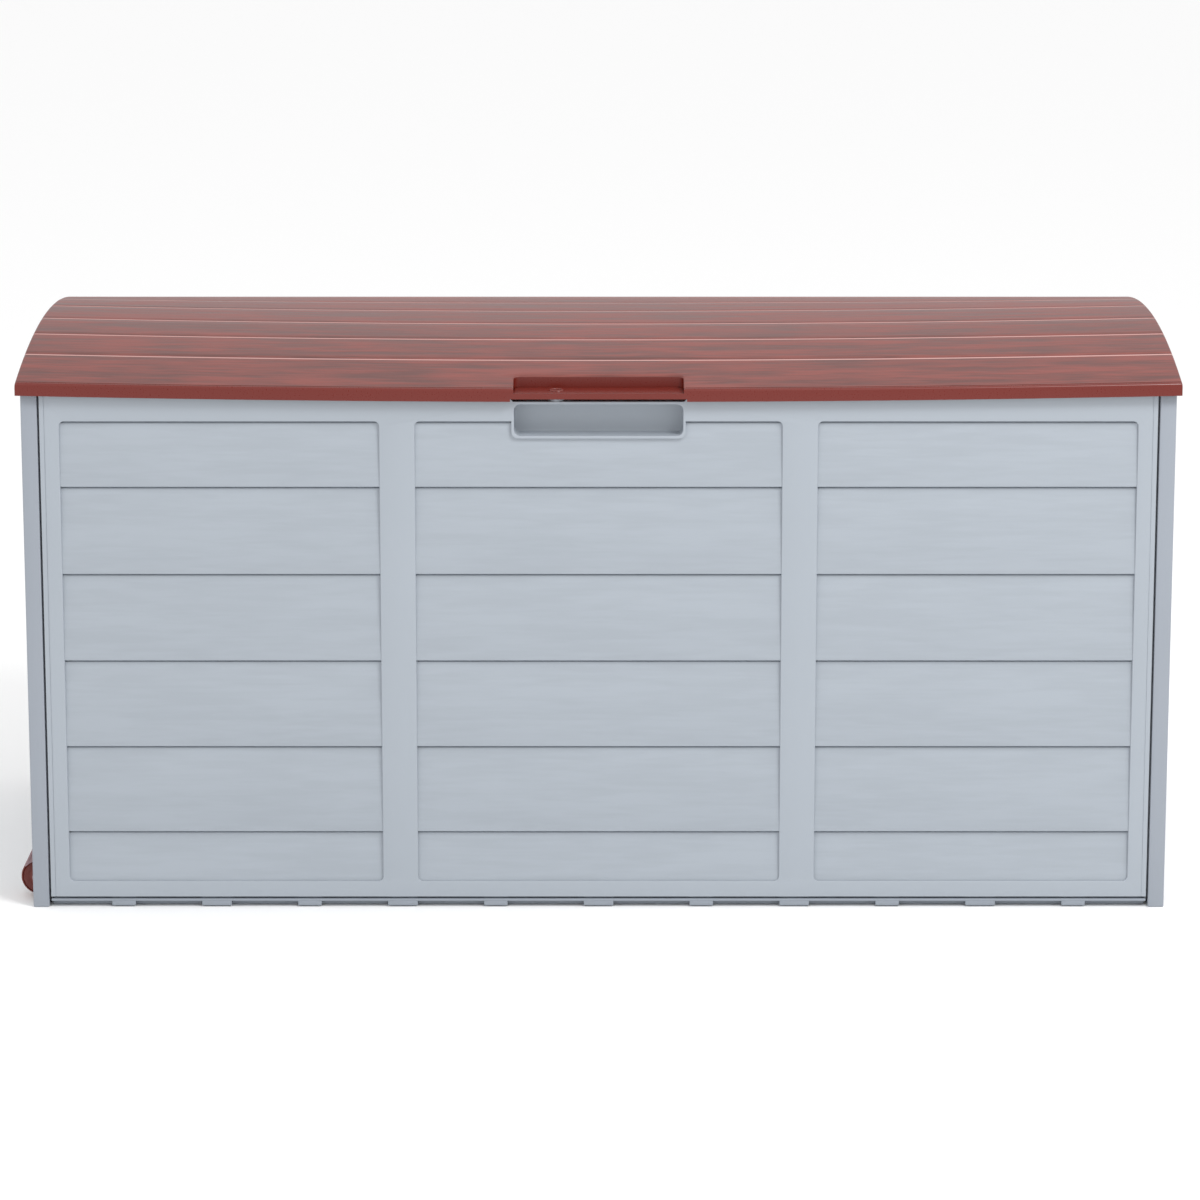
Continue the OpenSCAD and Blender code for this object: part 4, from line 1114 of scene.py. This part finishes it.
class STORAGEBOX_OT_wheels(Operator):
    """Models the two wheels and their brackets"""

    bl_idname = "storagebox.wheels"
    bl_label = "Wheels and brackets"

    def execute(self, context):
        colours = context.scene.box_colours
        tyre = moulded_plastic("moulded_wheel_polypropylene", colours.wheel, 0.4)
        # the bracket colour is brown red plastic paled by painted sheen
        bracket_sheen = moulded_plastic("moulded_bracket_polypropylene_painted_sheen", colours.bracket, 0.45)
        for side in ("front", "rear"):
            self.wheel(side, tyre)
            self.bracket(side, bracket_sheen)
        return {"FINISHED"}

    def wheel(self, side, plastic):
        low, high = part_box("wheel_" + side)
        centre = (low + high) / 2
        radius, half = (high.z - low.z) / 2, (high.y - low.y) / 2
        tread = half - 1 * MM
        wheel = rod("wheel_" + side + "_shell", centre - Vector((0, tread, 0)),
                    centre + Vector((0, tread, 0)), radius, 96)
        round_edges(wheel, 1.2 * MM, 3, lambda edge: not runs_along(edge, 1))
        # width of each ring of the disc from its edge inwards, and its shift outwards
        steps = ((0.8, -1.0), (0.8, 2.0), (5.5, -1.2), (1.6, 1.2))
        for way in (-1, 1):
            edit(wheel, "FACE", lambda face: face.normal.y * way > 0.99)
            for width, shift in steps:
                bpy.ops.mesh.inset(thickness=width * MM)
                bpy.ops.transform.translate(value=(0, way * shift * MM, 0))
            close(wheel)
        cut_all(wheel, [rod("bore", centre - Vector((0, half + CUT, 0)),
                            centre + Vector((0, half + CUT, 0)), AXLE_BORE)])
        finished(wheel, "front_wheel" if side == "front" else "rear_wheel",
                 [plastic], ["wheel_" + side])

    def bracket(self, side, plastic):
        node = "wheel_bracket_" + side
        low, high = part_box(node)
        wheel_low, wheel_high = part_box("wheel_" + side)
        hub = (wheel_low + wheel_high) / 2
        out = -1 if side == "front" else 1
        face = body_box()[0].x
        cheek_wall, clear = 2.5 * MM, 1.2 * MM
        inside = (wheel_high.y - wheel_low.y) / 2 + clear
        outside = inside + cheek_wall
        wheel_r = (wheel_high.z - wheel_low.z) / 2
        # the hood slopes out from its top to its foot, with a slight bulge
        top = hub.z + wheel_r + 15.5 * MM
        foot = hub.z + 11.7 * MM
        hood_out, bulge, steps = 11 * MM, 6 * MM, 8
        nose = [(face - hood_out * t, top + (foot - top) * t + bulge * t * (1 - t))
                for t in [i / steps for i in range(steps + 1)]]
        inner_x = high.x
        sink = 0.06 * MM       # keeps faces that meet from lying in one plane
        outline = [(face + 3 * MM, top)] + nose + [(face + 3 * MM, foot - 4 * MM)]
        boss_r = 7 * MM
        cheeks = []
        for way in (-1, 1):
            y = sorted((hub.y + way * inside, hub.y + way * outside))
            cheek = prism("cheek", outline, y[0], y[1])
            combine(cheek, rod("arch", (hub.x, y[0] - CUT, hub.z), (hub.x, y[1] + CUT, hub.z),
                               wheel_r - clear, 64))
            combine(cheek, block("plate", (hub.x + 5 * sink, y[0], low.z),
                                 (inner_x, y[1], top)), "UNION")
            combine(cheek, rod("nose", (hub.x, y[0] + sink, hub.z),
                               (hub.x, y[1] - sink, hub.z), boss_r), "UNION")
            cheeks.append(cheek)
        bracket = join(cheeks)
        bracket.name = bracket.data.name = node + "_shell"
        thick = 2 * MM
        skin = [p for p in nose if p[1] >= foot + 0.28 * (top - foot)]
        hood = [(inner_x, top)] + skin
        hood += [(x + thick, z - 0.4 * thick) for x, z in reversed(skin[1:])]
        hood += [(face + thick, top - 2 * thick), (inner_x, top - 2 * thick)]
        add_all(bracket, [prism("hood", hood, hub.y - outside - sink,
                                hub.y + outside + sink)])
        add_all(bracket, [block("wall", (inner_x - cheek_wall, hub.y - outside + sink,
                                         low.z + sink),
                                (inner_x - sink, hub.y + outside - sink, top - 0.5 * MM))])
        # plates behind the end panel's face, which the screws go through
        plate_near, plate_far, reach = face + 3 * MM, face + 5.5 * MM, outside + 12 * MM
        ends = sorted((hub.y + out * (outside - 2 * sink), hub.y - out * reach))
        add_all(bracket, [block("flange", (plate_near + sink, ends[0], top - 1 * MM),
                                (plate_far, ends[1], high.z))])
        ends = sorted((hub.y - out * (outside - 0.5 * MM), hub.y - out * reach))
        add_all(bracket, [block("tail", (plate_near + 0.01 * MM, ends[0], 14.5 * MM),
                                (plate_far - 0.01 * MM, ends[1], top))])
        cut_all(bracket, [rod("bore", (hub.x, hub.y - outside - CUT, hub.z),
                              (hub.x, hub.y + outside + CUT, hub.z), AXLE_BORE)])
        finished(soften(bracket, 0.3 * MM), "box", [plastic], [node])


def islands(node):
    """Lowest and highest corner of each separate solid of a CAD node."""
    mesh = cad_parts[node].data
    group = {}

    def root(key):
        while group[key] != key:
            key = group[key]
        return key

    keys = [tuple(round(c, 6) for c in v.co) for v in mesh.vertices]
    for key in keys:
        group[key] = key
    for face in mesh.polygons:
        first, *rest = [keys[i] for i in face.vertices]
        for other in rest:
            group[root(other)] = root(first)
    solids = {}
    for key in group:
        solids.setdefault(root(key), []).append(key)
    return [(Vector(map(min, zip(*points))), Vector(map(max, zip(*points))))
            for points in solids.values()]


def screw(name, head, way, reach):
    """A pan-head screw with a cross recess: head is the middle of its top, way points
    out of it, and reach is its whole length."""
    radius, rise, shank_r = 3.6 * MM, 2.2 * MM, 2 * MM
    slot_half, slot_r = 1.9 * MM, 0.62 * MM
    top = rod(name, head - way * rise, head, radius, 32)
    round_edges(top, 0.9 * MM, 3, lambda edge: edge.calc_face_angle(0) > 1
                and all(((v.co - head).dot(way)) > -0.1 * MM for v in edge.verts))
    side = way.orthogonal().normalized()
    for arm in (side, way.cross(side)):
        slot = rod("slot", head - arm * slot_half, head + arm * slot_half, slot_r, 4)
        combine(top, slot)
    shank = rod("shank", head - way * (rise - 0.2 * MM), head - way * reach, shank_r, 20)
    combine(top, shank, "UNION")
    return top


class STORAGEBOX_OT_fixings(Operator):
    """Models the screws and gives the pins, axles and clips their metal"""

    bl_idname = "storagebox.fixings"
    bl_label = "Screws, pins and axles"

    def execute(self, context):
        steel = zinc_steel()
        out = {"corner_screws": "inward", "hinge_body_screws": (0, 1, 0),
               "hinge_lid_screws": (0, 1, 0), "bracket_screws": (1, 0, 0)}
        bodies = {"hinge_lid_screws": "lid"}
        for node, way in out.items():
            made = []
            for low, high in islands(node):
                middle = (low + high) / 2
                direction = (Vector((0, -math.copysign(1, middle.y), 0))
                             if way == "inward" else Vector(way))
                reach = max(high - low)
                head = middle + direction * reach / 2
                made.append(screw(node + "_set", head, direction, reach))
            finished(join(made), bodies.get(node, "box"), [steel], [node])
        for name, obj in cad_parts.items():
            if name.startswith(("hinge_pin", "axle")):
                obj.data.materials.clear()
                obj.data.materials.append(steel)
        return {"FINISHED"}


# ---- Stage ------------------------------------------------------------------------------


def area_light(name, place, target, size, power):
    """A soft square lamp at a place, aimed at a target."""
    lamp = bpy.data.lights.new(name, "AREA")
    lamp.energy, lamp.size = power, size
    obj = bpy.data.objects.new(name, lamp)
    bpy.context.scene.collection.objects.link(obj)
    obj.location = place
    obj.rotation_euler = (Vector(target) - Vector(place)).to_track_quat("-Z", "Y").to_euler()


class STORAGEBOX_OT_stage(Operator):
    """Adds the pale floor, the soft studio lights and the camera"""

    bl_idname = "storagebox.stage"
    bl_label = "Stage"

    def execute(self, context):
        scene = context.scene
        bpy.ops.object.select_all(action="DESELECT")
        bpy.ops.mesh.primitive_plane_add(size=80)
        floor = placed("studio_floor")
        floor.data.materials.append(
            moulded_plastic("studio_paper", scene.box_colours.floor, 0.9, relief=0.0,
                            mottle=0.0))
        world = bpy.data.worlds.new("studio")
        world.use_nodes = True
        background = world.node_tree.nodes["Background"]
        background.inputs["Color"].default_value = (1.0, 1.0, 1.0, 1.0)
        background.inputs["Strength"].default_value = 1.0
        scene.world = world
        scene.view_settings.view_transform = "Standard"
        area_light("key", (1.1, -1.5, 2.3), (0.1, 0, 0.45), 0.7, 34)
        area_light("fill", (-1.3, -1.8, 2.1), (-0.1, 0, 0.45), 0.8, 4)
        camera = bpy.data.cameras.new("camera")
        camera.lens, camera.sensor_width, camera.shift_y = 128.5, 36.0, -0.14
        tilt = 11.22                        # degrees below the horizon
        obj = bpy.data.objects.new("camera", camera)
        scene.collection.objects.link(obj)
        obj.location = (0.0014, -4.2375, 1.265)
        obj.rotation_euler = (math.radians(90 - tilt), 0, 0)
        scene.camera = obj
        return {"FINISHED"}


# ---- Sidebar and registration -----------------------------------------------------------

STEPS = (STORAGEBOX_OT_long_panels, STORAGEBOX_OT_end_panels, STORAGEBOX_OT_base,
         STORAGEBOX_OT_lid, STORAGEBOX_OT_hinges, STORAGEBOX_OT_wheels,
         STORAGEBOX_OT_fixings, STORAGEBOX_OT_stage)


class STORAGEBOX_PT_sidebar(Panel):
    """Lists the steps that build the box"""

    bl_idname = "STORAGEBOX_PT_sidebar"
    bl_label = "Deck storage box"
    bl_space_type = "VIEW_3D"
    bl_region_type = "UI"
    bl_category = "Storage box"

    def draw(self, context):
        for step in STEPS:
            self.layout.operator(step.bl_idname)


CLASSES = (BoxSizes, BoxColours, *STEPS, STORAGEBOX_PT_sidebar)


def register():
    for cls in CLASSES:
        bpy.utils.register_class(cls)
    bpy.types.Scene.box_sizes = PointerProperty(type=BoxSizes)
    bpy.types.Scene.box_colours = PointerProperty(type=BoxColours)


def unregister():
    del bpy.types.Scene.box_colours
    del bpy.types.Scene.box_sizes
    for cls in reversed(CLASSES):
        bpy.utils.unregister_class(cls)


def main():
    """Builds the whole box."""
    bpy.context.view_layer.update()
    register()
    for step in STEPS:
        group, name = step.bl_idname.split(".")
        getattr(getattr(bpy.ops, group), name)()
    bpy.context.view_layer.update()


if __name__ == "__main__":
    main()
